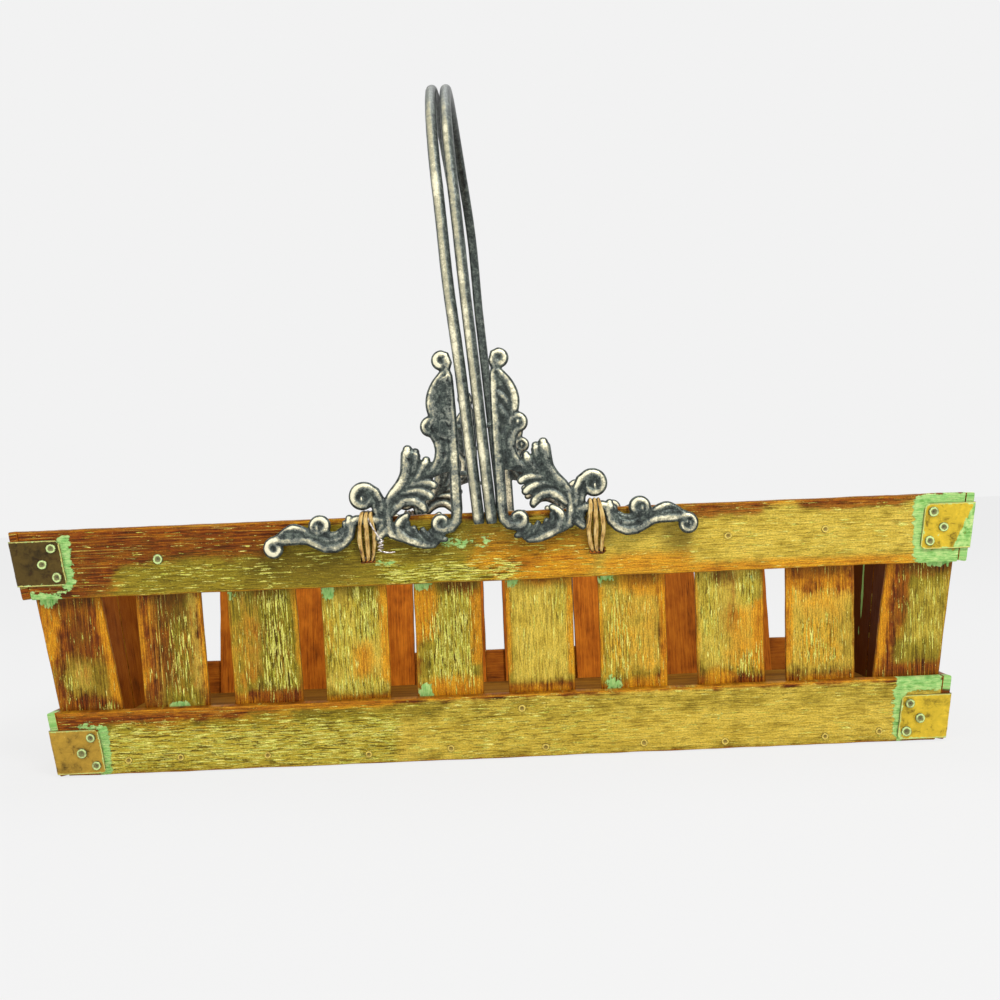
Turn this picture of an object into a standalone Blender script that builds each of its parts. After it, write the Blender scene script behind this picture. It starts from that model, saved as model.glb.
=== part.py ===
"""Wooden slat basket with a twin-rod arched handle on four cast scroll brackets.

The basket is an open box of thin slats nailed inside two bands of rails, over a base
board, with sheet plates round its corners. Each foot of the handle stands between two
cast scrolls, which are lashed to the top rail with cane.

Frame: X along the basket, -Y to its front, +Z up, origin under its middle, in metres.
"""

import math

import bmesh
import bpy
from mathutils import Matrix, Vector

# Outer box of the basket: its four walls flare from base to rim
RIM_LENGTH = 0.560
BASE_LENGTH = 0.525
RIM_WIDTH = 0.200
BASE_WIDTH = 0.165
BASKET_HEIGHT = 0.146

# Clearance between pieces that touch on the real object, and overrun of every cut
FIT_GAP = 0.0003
CUT_OVERRUN = 0.001
WELD_DISTANCE = 0.000001

# Rails, base board and slats
RAIL_THICKNESS = 0.005
TOP_RAIL_HEIGHT = 0.040
BOTTOM_RAIL_HEIGHT = 0.0385
BACK_TOP_RAIL_HEIGHT = 0.042
BACK_BOTTOM_RAIL_HEIGHT = 0.0425
RAIL_EDGE = 0.0008
FLAT_ANGLE = math.radians(50)
SMOOTH_ANGLE = math.radians(45)
BOARD_THICKNESS = 0.020
SLAT_THICKNESS = 0.003
SLAT_SETBACK = 0.0006
CORNER_CLEARANCE = 0.0006
FRONT_SLAT_WIDTH_SHARE = 0.734
BACK_SLAT_WIDTH_SHARE = 0.745
BACK_SLAT_SHIFT_SHARE = -0.0564
END_MIDDLE_SLAT_SHARE = 0.39
END_SLAT_GAP = 0.0009
LONG_WALL_SLATS = 10
END_WALL_SLATS = 3

# Corner plates
PLATE_LENGTH = 0.029
PLATE_HEIGHT = 0.0265
PLATE_THICKNESS = 0.0008
PLATE_CORNER = 0.004
TOP_PLATE_DROP = 0.0055
BOTTOM_PLATE_LIFT = 0.0015

# Handle: two rods side by side, bent into one tall narrow arch from front to back
ROD_RADIUS = 0.00325
ROD_FOOT_DROP = 0.0065
ROD_FOOT_SPACING = 0.0072
ROD_TOP_SPACING = 0.0090
HANDLE_TOP = 0.4279
HANDLE_FOOT_X = -0.00435
HANDLE_LEAN = math.radians(4.4)
HANDLE_TWIST = math.radians(1.9)
HANDLE_ARC_STEPS = 22
HANDLE_LEG_STEPS = 4

# Scroll brackets: places are shares of the span, stroke radii shares of the stroke
BRACKET_SPAN = 0.100
BRACKET_STROKE = 0.0028
BRACKET_DEPTH_SHARE = 0.72
WEB_THICKNESS = 0.0026
BRACKET_LEAN = math.radians(1.25)
RIGHT_BRACKET_X = 0.0036
LEFT_BRACKET_X = -0.0173
VOLUTE_STEP = math.radians(24)
SCROLL_VOXEL = 0.0007
SCROLL_KEPT_SHARE = 0.08
BRACKET_WIDEST_SHARE = 1.55
BAR_STROKE_SHARE = 0.82
BAR_PLACE_SHARES = (0.56, 0.0)

# Pins between rods and brackets
PIN_RADIUS = 0.0015
PIN_SIDES = 8

# Cane ties: three loops each, round the bracket's bar, over the rim, through a slot
CANE_RADIUS = 0.0011
CANE_STEP = 0.0027
CANE_SPREAD = 0.0011
CANE_LOOPS = 3
CANE_LOOP_POINTS = 24
CANE_SLOT_TURN = 1 / 16
CANE_CLEARANCE = 0.0004
TUBE_END_DIAMETERS = 2
TIE_SLOT_DROP = 0.0245
TIE_SLOT_WIDTH = 0.0090
TIE_SLOT_HEIGHT = 0.0044
RIGHT_TIE_X = 0.0602
LEFT_TIE_X = -0.0729

# Wire of the front left tie, with its twisted end
WIRE_RADIUS = 0.00045
WIRE_KNOT_RADIUS = 0.0016
WIRE_KNOT_HEIGHT = 0.006
WIRE_KNOT_TURNS = 3
WIRE_KNOT_TURN_POINTS = 9
WIRE_KNOT_SHIFT = 0.0055
WIRE_BAR_SHARE = 0.52
WIRE_TAIL_SHARES = ((2.0, 0.0, -3.0), (5.0, 1.0, -2.0))

# Spacing of the slats as shares of the room between the end walls, at base and rim
FRONT_SLAT_PITCH_SHARES = (0.1058, 0.0991)
BACK_SLAT_PITCH_SHARES = (0.1033, 0.0968)

# Centres of the front slats as shares of the spacing, at base and rim, and their widths
FRONT_SLAT_BASE_SHARES = (-4.50, -3.50, -2.50, -1.535, -0.535, 0.465, 1.48, 2.535, 3.50, 4.50)
FRONT_SLAT_RIM_SHARES = (-4.50, -3.535, -2.53, -1.52, -0.51, 0.47, 1.47, 2.52, 3.51, 4.50)
FRONT_SLAT_WIDTH_SHARES = (0.95, 0.97, 1.02, 0.97, 0.99, 1.0, 1.0, 1.01, 1.02, 0.98)

# Pins by hand: label, height, and the spine's centre and stroke weight there, as shares
PIN_SHARES = {
    "left": (("upper", 0.50, 0.021, 0.86), ("lower", 0.23, 0.0212, 0.905)),
    "right": (("upper", 0.50, 0.021, 0.86),),
}

# Stations of a cane loop: anchor, and its shift out and up as shares of the clearance
TIE_STATION_SHARES = (
    ("slot_inside", -0.5, 0.0),
    ("slot_middle", 0.0, 0.0),
    ("slot_outside", 0.0, 0.25),
    ("under_bar", 0.0, 0.0),
    ("bar_front", 0.0, -1.25),
    ("bar_front", -0.4, 1.65),
    ("bar_top", 0.0, 0.0),
    ("over_rim", 0.0, 2.0),
    ("rim_inside", -0.5, 0.8),
    ("rim_inside", -1.25, -2.0),
    ("wall_inside", -1.15, 0.0),
    ("low_inside", -1.2, 0.0),
)

WALLS = ("front", "back", "left", "right")
MATERIALS = {}


def new_collection(name):
    """Make a collection in the scene and return it."""
    collection = bpy.data.collections.new(name)
    bpy.context.scene.collection.children.link(collection)
    return collection


def make_material(name, colour, roughness, metallic=0.0):
    """Make a Principled material once, and return it again on later calls."""
    if name not in MATERIALS:
        material = bpy.data.materials.new(name)
        material.use_nodes = True
        shader = material.node_tree.nodes["Principled BSDF"]
        shader.inputs["Base Color"].default_value = (*colour, 1.0)
        shader.inputs["Roughness"].default_value = roughness
        shader.inputs["Metallic"].default_value = metallic
        MATERIALS[name] = material
    return MATERIALS[name]


def rail_wood():
    """Olive and orange worn paint on the rails."""
    return make_material("rail_wood", (0.33, 0.23, 0.05), 0.62)


def slat_wood():
    """Orange-brown slats under rubbed yellow-green paint."""
    return make_material("slat_wood", (0.42, 0.25, 0.06), 0.60)


def board_wood():
    """Bare red-brown base board."""
    return make_material("board_wood", (0.30, 0.13, 0.05), 0.65)


def plate_metal():
    """Golden brown sheet of the corner plates."""
    return make_material("plate_metal", (0.46, 0.29, 0.07), 0.45, 0.7)


def handle_metal():
    """Dark grey-green metal of the handle and its brackets."""
    return make_material("handle_metal", (0.12, 0.12, 0.10), 0.42, 0.85)


def cane():
    """Yellow-tan split cane."""
    return make_material("cane", (0.62, 0.45, 0.20), 0.55)


def wire_metal():
    """Silvery binding wire."""
    return make_material("wire_metal", (0.72, 0.70, 0.66), 0.3, 1.0)


def half_length(z):
    """Half of the outer length at height z."""
    return (BASE_LENGTH + (RIM_LENGTH - BASE_LENGTH) * z / BASKET_HEIGHT) / 2


def half_width(z):
    """Half of the outer width at height z."""
    return (BASE_WIDTH + (RIM_WIDTH - BASE_WIDTH) * z / BASKET_HEIGHT) / 2


def is_long(wall):
    """Whether the wall is the front or the back."""
    return wall in ("front", "back")


def wall_slope(wall):
    """Outward run of the wall for each unit of height."""
    if is_long(wall):
        return (RIM_WIDTH - BASE_WIDTH) / 2 / BASKET_HEIGHT
    return (RIM_LENGTH - BASE_LENGTH) / 2 / BASKET_HEIGHT


def level_depth(wall, depth):
    """Level distance that a thickness square to the sloping wall takes up."""
    return depth * math.hypot(1.0, wall_slope(wall))


def wall_axes(wall):
    """Unit vectors along the wall and out of it, both level."""
    along = Vector((1, 0, 0)) if is_long(wall) else Vector((0, 1, 0))
    out = {"front": (0, -1, 0), "back": (0, 1, 0), "left": (-1, 0, 0), "right": (1, 0, 0)}
    return along, Vector(out[wall])


def wall_normal(wall):
    """Unit vector square to the wall's sloping outer face."""
    out = wall_axes(wall)[1]
    return (out - Vector((0, 0, wall_slope(wall)))).normalized()


def wall_point(wall, along, depth, z):
    """Point at a place along the wall, at a depth behind its outer face, at a height."""
    axis, out = wall_axes(wall)
    face = half_width(z) if is_long(wall) else half_length(z)
    return axis * along + out * (face - level_depth(wall, depth)) + Vector((0, 0, z))


def wall_reach(wall, depth, z):
    """Half of the room along a wall between its neighbours, at a depth inside them."""
    if is_long(wall):
        return half_length(z) - level_depth("left", depth)
    return half_width(z) - level_depth("front", depth)


def add_object(name, mesh, material, collection):
    """Put a mesh into the scene as a named object with a material."""
    piece = bpy.data.objects.new(name, mesh)
    collection.objects.link(piece)
    if material:
        mesh.materials.append(material)
    return piece


def finish_mesh(bm, name):
    """Turn a bmesh into a mesh with its faces pointing out."""
    bm.normal_update()
    bmesh.ops.recalc_face_normals(bm, faces=bm.faces)
    mesh = bpy.data.meshes.new(name)
    bm.to_mesh(mesh)
    bm.free()
    return mesh


def add_bevel(piece, width):
    """Break the edges of a piece with one flat."""
    bevel = piece.modifiers.new("worn_edge", "BEVEL")
    bevel.width = width
    bevel.segments = 1
    bevel.limit_method = "ANGLE"
    bevel.angle_limit = FLAT_ANGLE


def add_cut(piece, cutter):
    """Take a cutter out of a piece."""
    cut = piece.modifiers.new(cutter.name, "BOOLEAN")
    cut.operation = "DIFFERENCE"
    cut.solver = "EXACT"
    cut.object = cutter


def wall_block(wall, spans, depths, heights):
    """Mesh of a flat-sided stick that lies in a wall.

    spans holds its two ends along the wall at the low and at the high level.
    """
    bm = bmesh.new()
    bmesh.ops.create_cube(bm, size=1.0)
    for vertex in bm.verts:
        high = vertex.co.z > 0
        span = spans[1] if high else spans[0]
        along = span[1] if vertex.co.x > 0 else span[0]
        depth = depths[1] if vertex.co.y > 0 else depths[0]
        vertex.co = wall_point(wall, along, depth, heights[1] if high else heights[0])
    return finish_mesh(bm, "wall_block")


def rail_spans(wall, heights):
    """Ends of a rail: end rails run the full width, long rails fit between them."""
    if is_long(wall):
        reaches = [wall_reach(wall, RAIL_THICKNESS, z) - FIT_GAP for z in heights]
    else:
        reaches = [half_width(z) for z in heights]
    return [(-reach, reach) for reach in reaches]


def make_rail(wall, level, heights, collection):
    """One rail of a wall, between two heights."""
    mesh = wall_block(wall, rail_spans(wall, heights), (0, RAIL_THICKNESS), heights)
    piece = add_object(f"{wall}_{level}_rail", mesh, rail_wood(), collection)
    add_bevel(piece, RAIL_EDGE)
    return piece


def rail_heights(wall, level):
    """Lower and upper edge of a rail. The back ones are sawn a little wider."""
    if level == "bottom":
        return 0, BACK_BOTTOM_RAIL_HEIGHT if wall == "back" else BOTTOM_RAIL_HEIGHT
    height = BACK_TOP_RAIL_HEIGHT if wall == "back" else TOP_RAIL_HEIGHT
    return BASKET_HEIGHT - height, BASKET_HEIGHT


def make_rails(collection):
    """The band of bottom rails and the band of top rails, by node name."""
    rails = {}
    for level in ("bottom", "top"):
        for wall in WALLS:
            rails[wall, level] = make_rail(wall, level, rail_heights(wall, level), collection)
    return rails


def slat_inner_depth():
    """Depth of the slats' inner face behind the wall's outer face."""
    return RAIL_THICKNESS + FIT_GAP + SLAT_THICKNESS


def make_board(collection):
    """Base board between the slats, with its edges sloped like the walls."""
    inset = slat_inner_depth() + FIT_GAP
    bm = bmesh.new()
    bmesh.ops.create_cube(bm, size=1.0)
    for vertex in bm.verts:
        z = BOARD_THICKNESS if vertex.co.z > 0 else 0.0
        x = half_length(z) - level_depth("left", inset)
        y = half_width(z) - level_depth("front", inset)
        vertex.co = Vector((math.copysign(x, vertex.co.x), math.copysign(y, vertex.co.y), z))
    piece = add_object("base_board", finish_mesh(bm, "base_board"), board_wood(), collection)
    add_bevel(piece, RAIL_EDGE)
    return piece


def corner_slat_centre(wall, width, z):
    """Centre of the slat that follows the wall's own end, at a height."""
    return wall_reach(wall, RAIL_THICKNESS, z) - CORNER_CLEARANCE - width / 2


def slat_spacing(wall, heights):
    """Spacing of the slats of a long wall at two heights."""
    shares = FRONT_SLAT_PITCH_SHARES if wall == "front" else BACK_SLAT_PITCH_SHARES
    rooms = [2 * wall_reach(wall, RAIL_THICKNESS, z) for z in heights]
    return [room * share for room, share in zip(rooms, shares)]


def long_slat_layout(wall, number, heights):
    """Width and centres, low and high, of a slat of a long wall."""
    low_pitch, high_pitch = slat_spacing(wall, heights)
    narrowest = min(low_pitch, high_pitch)
    if wall == "front":
        width = narrowest * FRONT_SLAT_WIDTH_SHARE * FRONT_SLAT_WIDTH_SHARES[number]
        low = low_pitch * FRONT_SLAT_BASE_SHARES[number]
        high = high_pitch * FRONT_SLAT_RIM_SHARES[number]
        return width, low, high
    place = number - (LONG_WALL_SLATS - 1) / 2 + BACK_SLAT_SHIFT_SHARE
    return narrowest * BACK_SLAT_WIDTH_SHARE, low_pitch * place, high_pitch * place


def long_slat_spans(wall, number, heights):
    """Ends of a slat of a long wall: the outer ones lean with the corners."""
    width, low, high = long_slat_layout(wall, number, heights)
    if number in (0, LONG_WALL_SLATS - 1):
        side = -1 if number == 0 else 1
        low, high = [side * corner_slat_centre(wall, width, z) for z in heights]
    return [(centre - width / 2, centre + width / 2) for centre in (low, high)]


def end_slat_spans(wall, number, heights):
    """Ends of a slat of an end wall: the outer ones widen upwards to the corners."""
    reaches = [wall_reach(wall, slat_inner_depth(), z) - CORNER_CLEARANCE for z in heights]
    middle = END_MIDDLE_SLAT_SHARE * reaches[0]
    if number == 0:
        return [(-reach, -middle - END_SLAT_GAP) for reach in reaches]
    if number == END_WALL_SLATS - 1:
        return [(middle + END_SLAT_GAP, reach) for reach in reaches]
    return [(-middle, middle) for _ in reaches]


def make_slats(collection):
    """All slats, grouped by wall."""
    heights = (SLAT_SETBACK, BASKET_HEIGHT - SLAT_SETBACK)
    depths = (RAIL_THICKNESS + FIT_GAP, slat_inner_depth())
    slats = {}
    for wall in WALLS:
        count = LONG_WALL_SLATS if is_long(wall) else END_WALL_SLATS
        slats[wall] = []
        for number in range(count):
            slat_spans = long_slat_spans if is_long(wall) else end_slat_spans
            spans = slat_spans(wall, number, heights)
            mesh = wall_block(wall, spans, depths, heights)
            name = f"{wall}_slat_{number + 1:02d}"
            slats[wall].append(add_object(name, mesh, slat_wood(), collection))
    return slats


def plate_heights(level):
    """Lower and upper edge of a corner plate."""
    if level == "top":
        top = BASKET_HEIGHT - TOP_PLATE_DROP
        return top - PLATE_HEIGHT, top
    return BOTTOM_PLATE_LIFT, BOTTOM_PLATE_LIFT + PLATE_HEIGHT


def corner_point(end, side, run, skirt, z):
    """Point of a plate's back face: run along the long wall, skirt along the end wall."""
    x = half_length(z) + level_depth("left", FIT_GAP)
    y = half_width(z) + level_depth("front", FIT_GAP)
    return Vector((end * (x - run), side * (y - skirt), z))


def make_plate(wall, hand, level, collection):
    """Sheet plate bent round one corner, its free corners rounded."""
    end = -1 if hand == "left" else 1
    side = -1 if wall == "front" else 1
    low, high = plate_heights(level)
    bm = bmesh.new()
    rows = []
    for z in (low, high):
        runs = ((PLATE_LENGTH, 0.0), (0.0, 0.0), (0.0, PLATE_LENGTH))
        rows.append([bm.verts.new(corner_point(end, side, run, skirt, z)) for run, skirt in runs])
    for left, right in ((0, 1), (1, 2)):
        bm.faces.new((rows[0][left], rows[0][right], rows[1][right], rows[1][left]))
    free = [row[index] for row in rows for index in (0, 2)]
    bmesh.ops.bevel(bm, geom=free, offset=PLATE_CORNER, segments=1, profile=0.5, affect="VERTICES")
    bmesh.ops.recalc_face_normals(bm, faces=bm.faces)
    outward = Vector((end, side, 0))
    if bm.faces[:][0].normal.dot(outward) < 0:
        bmesh.ops.reverse_faces(bm, faces=bm.faces)
    mesh = bpy.data.meshes.new("plate")
    bm.to_mesh(mesh)
    bm.free()
    name = f"{wall}_{hand}_{level}_plate"
    piece = add_object(name, mesh, plate_metal(), collection)
    sheet = piece.modifiers.new("sheet", "SOLIDIFY")
    sheet.thickness = PLATE_THICKNESS
    sheet.offset = 1.0
    sheet.use_even_offset = True
    return piece


def make_plates(collection):
    """Eight corner plates."""
    for wall in ("front", "back"):
        for hand in ("left", "right"):
            for level in ("top", "bottom"):
                make_plate(wall, hand, level, collection)


def add_box(bm, matrix, size):
    """Add a box of a size in the frame of a matrix."""
    bmesh.ops.create_cube(bm, size=1.0, matrix=matrix @ Matrix.Diagonal((*size, 1.0)))


def add_helper(name, bm, cutters):
    """Keep a shape that only cuts others, out of the picture."""
    piece = add_object(name, finish_mesh(bm, name), None, cutters)
    piece.hide_render = True
    piece.display_type = "WIRE"
    return piece


def make_slots(wall, places, cutters):
    """Slots of a long wall that its two ties pass through."""
    bm = bmesh.new()
    z = BASKET_HEIGHT - TIE_SLOT_DROP
    depth = 2 * (slat_inner_depth() + CUT_OVERRUN)
    for along in places:
        matrix = Matrix.Translation(wall_point(wall, along, slat_inner_depth() / 2, z))
        add_box(bm, matrix, (TIE_SLOT_WIDTH, depth, TIE_SLOT_HEIGHT))
    return add_helper(f"{wall}_tie_slots", bm, cutters)


def stands_at(wall, number, along, margin):
    """Whether a slat stands near a place along its wall."""
    heights = (SLAT_SETBACK, BASKET_HEIGHT - SLAT_SETBACK)
    spans = long_slat_spans(wall, number, heights)
    start = min(span[0] for span in spans) - margin
    end = max(span[1] for span in spans) + margin
    return start < along < end


def cut_slots(rails, slats, cutters):
    """Cut the slots of the ties through top rails and the slats behind them."""
    for wall in ("front", "back"):
        places = tie_centres(wall)
        slots = make_slots(wall, places, cutters)
        add_cut(rails[wall, "top"], slots)
        for number, slat in enumerate(slats[wall]):
            if any(stands_at(wall, number, along, TIE_SLOT_WIDTH / 2) for along in places):
                add_cut(slat, slots)


def tube_curve(name, points, radii, sides_resolution):
    """Curve object: a tube of unit depth whose point radii are its real radii."""
    data = bpy.data.curves.new(name, "CURVE")
    data.dimensions = "3D"
    data.bevel_depth = max(radii)
    data.bevel_resolution = sides_resolution
    data.use_fill_caps = True
    spline = data.splines.new("POLY")
    spline.points.add(len(points) - 1)
    for point, place, radius in zip(spline.points, points, radii):
        point.co = (*place, 1.0)
        point.radius = radius / max(radii)
    return bpy.data.objects.new(name, data)


def curve_to_mesh(curve, collection):
    """Make a mesh of a tube curve, weld its caps and remove the curve."""
    collection.objects.link(curve)
    bpy.context.view_layer.update()
    evaluated = curve.evaluated_get(bpy.context.evaluated_depsgraph_get())
    mesh = bpy.data.meshes.new_from_object(evaluated)
    bm = bmesh.new()
    bm.from_mesh(mesh)
    bmesh.ops.remove_doubles(bm, verts=bm.verts, dist=WELD_DISTANCE)
    bmesh.ops.recalc_face_normals(bm, faces=bm.faces)
    bm.to_mesh(mesh)
    bm.free()
    bpy.data.objects.remove(curve)
    return mesh


def handle_radius():
    """Radius of the handle's arch: its rods stand just outside the rails."""
    return RIM_WIDTH / 2 + FIT_GAP + ROD_RADIUS


def handle_spring_height():
    """Height where the straight legs of the handle turn into its arch."""
    return HANDLE_TOP - ROD_RADIUS - handle_radius()


def handle_path():
    """Places of the handle's middle line in its own plane, as depth and height."""
    radius = handle_radius()
    spring = handle_spring_height()
    foot = BASKET_HEIGHT - ROD_FOOT_DROP
    leg = [foot + (spring - foot) * n / HANDLE_LEG_STEPS for n in range(HANDLE_LEG_STEPS)]
    path = [(-radius, z) for z in leg]
    for n in range(HANDLE_ARC_STEPS + 1):
        angle = math.pi * n / HANDLE_ARC_STEPS
        path.append((-radius * math.cos(angle), spring + radius * math.sin(angle)))
    return path + [(radius, z) for z in reversed(leg)]


def rod_x(side, y, z):
    """Sideways place of a rod: the handle leans and is turned a little."""
    rise = min(1.0, max(0.0, (z - BASKET_HEIGHT) / (handle_spring_height() - BASKET_HEIGHT)))
    spacing = ROD_FOOT_SPACING + (ROD_TOP_SPACING - ROD_FOOT_SPACING) * rise
    lean = -math.tan(HANDLE_LEAN) * (z - BASKET_HEIGHT)
    twist = math.tan(HANDLE_TWIST) * (y + handle_radius())
    return HANDLE_FOOT_X + lean + twist + side * spacing / 2


def make_rod(hand, collection):
    """One rod of the handle, a curve with filled ends."""
    side = -1 if hand == "left" else 1
    points = [(rod_x(side, y, z), y, z) for y, z in handle_path()]
    rod = tube_curve(f"handle_rod_{hand}", points, [ROD_RADIUS] * len(points), 2)
    collection.objects.link(rod)
    rod.data.materials.append(handle_metal())
    return rod


def volute(centre, start, sweep, radii, weights):
    """Points of a spiral in shares: centre, angles in degrees, radii and stroke weights."""
    start, sweep = math.radians(start), math.radians(sweep)
    steps = max(2, round(abs(sweep) / VOLUTE_STEP))
    points = []
    for n in range(steps + 1):
        share = n / steps
        angle = start + sweep * share
        radius = radii[0] + (radii[1] - radii[0]) * share
        weight = weights[0] + (weights[1] - weights[0]) * share
        along = centre[0] + radius * math.cos(angle)
        up = centre[1] + radius * math.sin(angle)
        points.append((along, up, weight))
    return points


def bracket_strokes():
    """Strokes of a scroll as (along, up, weight) shares, from the rod outwards."""
    spine_shares = [(0.038, 0.835, 0.60), (0.024, 0.790, 0.68), (0.022, 0.700, 0.75),
                    (0.021, 0.500, 0.86), (0.021, 0.280, 0.90), (0.022, 0.030, 0.93),
                    (0.030, -0.040, 0.88), (0.060, -0.076, 0.84), (0.105, -0.086, 0.80)]
    spine_shares += volute((0.114, -0.048), -75, 300, (0.040, 0.022), (0.78, 0.65))
    top_curl_shares = [(0.038, 0.825, 0.62), (0.022, 0.870, 0.66), (0.034, 0.910, 0.70)]
    top_curl_shares += volute((0.058, 0.882), 90, -290, (0.036, 0.024), (0.72, 0.70))
    wing_shares = [(0.042, 0.820, 0.65), (0.070, 0.784, 0.80), (0.100, 0.744, 0.88),
                   (0.124, 0.692, 0.92), (0.134, 0.640, 0.90), (0.130, 0.592, 0.80),
                   (0.120, 0.560, 0.65)]
    feather_shares = [
        [(0.022, 0.790, 0.55), (0.046, 0.756, 0.66), (0.076, 0.710, 0.62),
         (0.098, 0.665, 0.48)],
        [(0.022, 0.690, 0.70), (0.052, 0.673, 0.80), (0.086, 0.638, 0.76),
         (0.106, 0.590, 0.60)],
        [(0.022, 0.615, 0.62), (0.048, 0.590, 0.72), (0.073, 0.556, 0.68),
         (0.090, 0.525, 0.55)],
    ]
    leaf_inner_shares = [(0.175, 0.224, 0.55), (0.115, 0.260, 0.68), (0.075, 0.310, 0.72),
                         (0.057, 0.370, 0.72), (0.060, 0.430, 0.72), (0.088, 0.480, 0.64)]
    leaf_outer_shares = [(0.220, 0.214, 0.58), (0.156, 0.256, 0.72), (0.114, 0.304, 0.82),
                         (0.098, 0.360, 0.86), (0.103, 0.412, 0.86), (0.120, 0.452, 0.84),
                          (0.142, 0.480, 0.78)]
    knob_shares = volute((0.144, 0.508), 235, -330, (0.037, 0.030), (0.80, 0.78))
    knob_ball_shares = [(0.120, 0.508, 0.5), (0.136, 0.508, 0.9), (0.160, 0.508, 0.9),
                        (0.172, 0.508, 0.5)]
    finger_shares = [
        [(0.240, 0.368, 0.60), (0.244, 0.352, 1.02), (0.255, 0.290, 0.95),
         (0.276, 0.226, 0.82), (0.312, 0.166, 0.70), (0.358, 0.122, 0.62),
         (0.388, 0.080, 0.55)],
        [(0.284, 0.385, 0.75), (0.285, 0.362, 1.22), (0.292, 0.300, 1.20),
         (0.304, 0.240, 1.10), (0.337, 0.184, 1.02), (0.382, 0.134, 0.95),
         (0.412, 0.085, 0.86), (0.422, 0.025, 0.76), (0.420, -0.040, 0.84),
         (0.402, -0.090, 0.90)],
        [(0.180, 0.318, 0.60), (0.186, 0.300, 0.95), (0.206, 0.264, 0.90),
         (0.238, 0.222, 0.78), (0.278, 0.186, 0.62)],
    ]
    lobe_shares = [
        [(0.305, 0.172, 0.65), (0.240, 0.192, 0.75), (0.184, 0.190, 0.82),
         (0.144, 0.172, 0.70)],
        [(0.325, 0.140, 0.65), (0.255, 0.146, 0.76), (0.202, 0.132, 0.84),
         (0.166, 0.108, 0.70)],
        [(0.400, 0.030, 0.70), (0.360, 0.066, 0.82), (0.310, 0.088, 0.90),
         (0.258, 0.084, 0.90), (0.220, 0.056, 0.84), (0.206, 0.036, 0.62)],
    ]
    shell_shares = [
        [(0.312, 0.006, 0.60), (0.350, -0.024, 0.80), (0.366, -0.066, 0.90),
         (0.340, -0.110, 0.90), (0.285, -0.142, 0.84), (0.220, -0.164, 0.72),
         (0.165, -0.168, 0.50)],
        [(0.286, -0.094, 0.48), (0.250, -0.116, 0.68), (0.195, -0.134, 0.72),
         (0.135, -0.142, 0.62), (0.080, -0.120, 0.50)],
        [(0.415, -0.070, 0.85), (0.380, -0.104, 0.75), (0.340, -0.120, 0.60)],
        [(0.424, -0.060, 0.75), (0.452, -0.082, 0.70), (0.478, -0.108, 0.50)],
    ]
    curl_shares = [(0.482, -0.090, 0.52), (0.458, -0.040, 0.74), (0.450, 0.030, 0.80),
                   (0.457, 0.100, 0.80), (0.484, 0.154, 0.82)]
    curl_shares += volute((0.556, 0.128), 120, -330, (0.062, 0.040), (0.86, 0.62))
    curl_inner_shares = [(0.482, -0.045, 0.55), (0.479, 0.020, 0.70), (0.488, 0.082, 0.68),
                         (0.512, 0.132, 0.58)]
    curl_ball_shares = [(0.548, 0.118, 0.4), (0.558, 0.116, 0.86), (0.576, 0.114, 0.86),
                        (0.586, 0.112, 0.4)]
    bar_shares = [(0.455, -0.010, 0.80), (0.600, 0.000, BAR_STROKE_SHARE),
                  (0.634, -0.030, 0.86)]
    hook_shares = [(0.642, 0.012, 0.55), (0.641, -0.006, 0.82), (0.639, -0.045, 0.90),
                   (0.648, -0.086, 0.98), (0.680, -0.122, 1.05), (0.730, -0.144, 1.10),
                   (0.785, -0.141, 1.05), (0.834, -0.118, 0.98), (0.880, -0.094, 0.92),
                   (0.930, -0.086, 0.92), (0.985, -0.086, 0.90), (1.040, -0.090, 0.84)]
    hook_shares += volute((1.082, -0.134), 105, -330, (0.042, 0.026), (0.82, 0.72))
    hook_inner_shares = [(0.672, -0.052, 0.50), (0.690, -0.072, 0.66), (0.735, -0.084, 0.70),
                         (0.780, -0.078, 0.60)]
    ball_ring_shares = volute((0.812, -0.022), -60, 330, (0.039, 0.034), (0.84, 0.78))
    ball_shares = [(0.814, -0.034, 0.5), (0.824, -0.034, 0.95), (0.842, -0.034, 0.95),
                   (0.852, -0.034, 0.5)]
    tip_leaf_shares = [(0.878, -0.060, 0.55), (0.922, -0.036, 0.72), (0.968, -0.024, 0.70),
                       (1.010, -0.036, 0.50), (1.045, -0.064, 0.50)]
    return [spine_shares, top_curl_shares, wing_shares, *feather_shares, leaf_inner_shares,
            leaf_outer_shares, knob_shares, knob_ball_shares, *finger_shares, *lobe_shares,
            *shell_shares, curl_shares, curl_inner_shares, curl_ball_shares, bar_shares,
            hook_shares, hook_inner_shares, ball_ring_shares, ball_shares, tip_leaf_shares]


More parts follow.
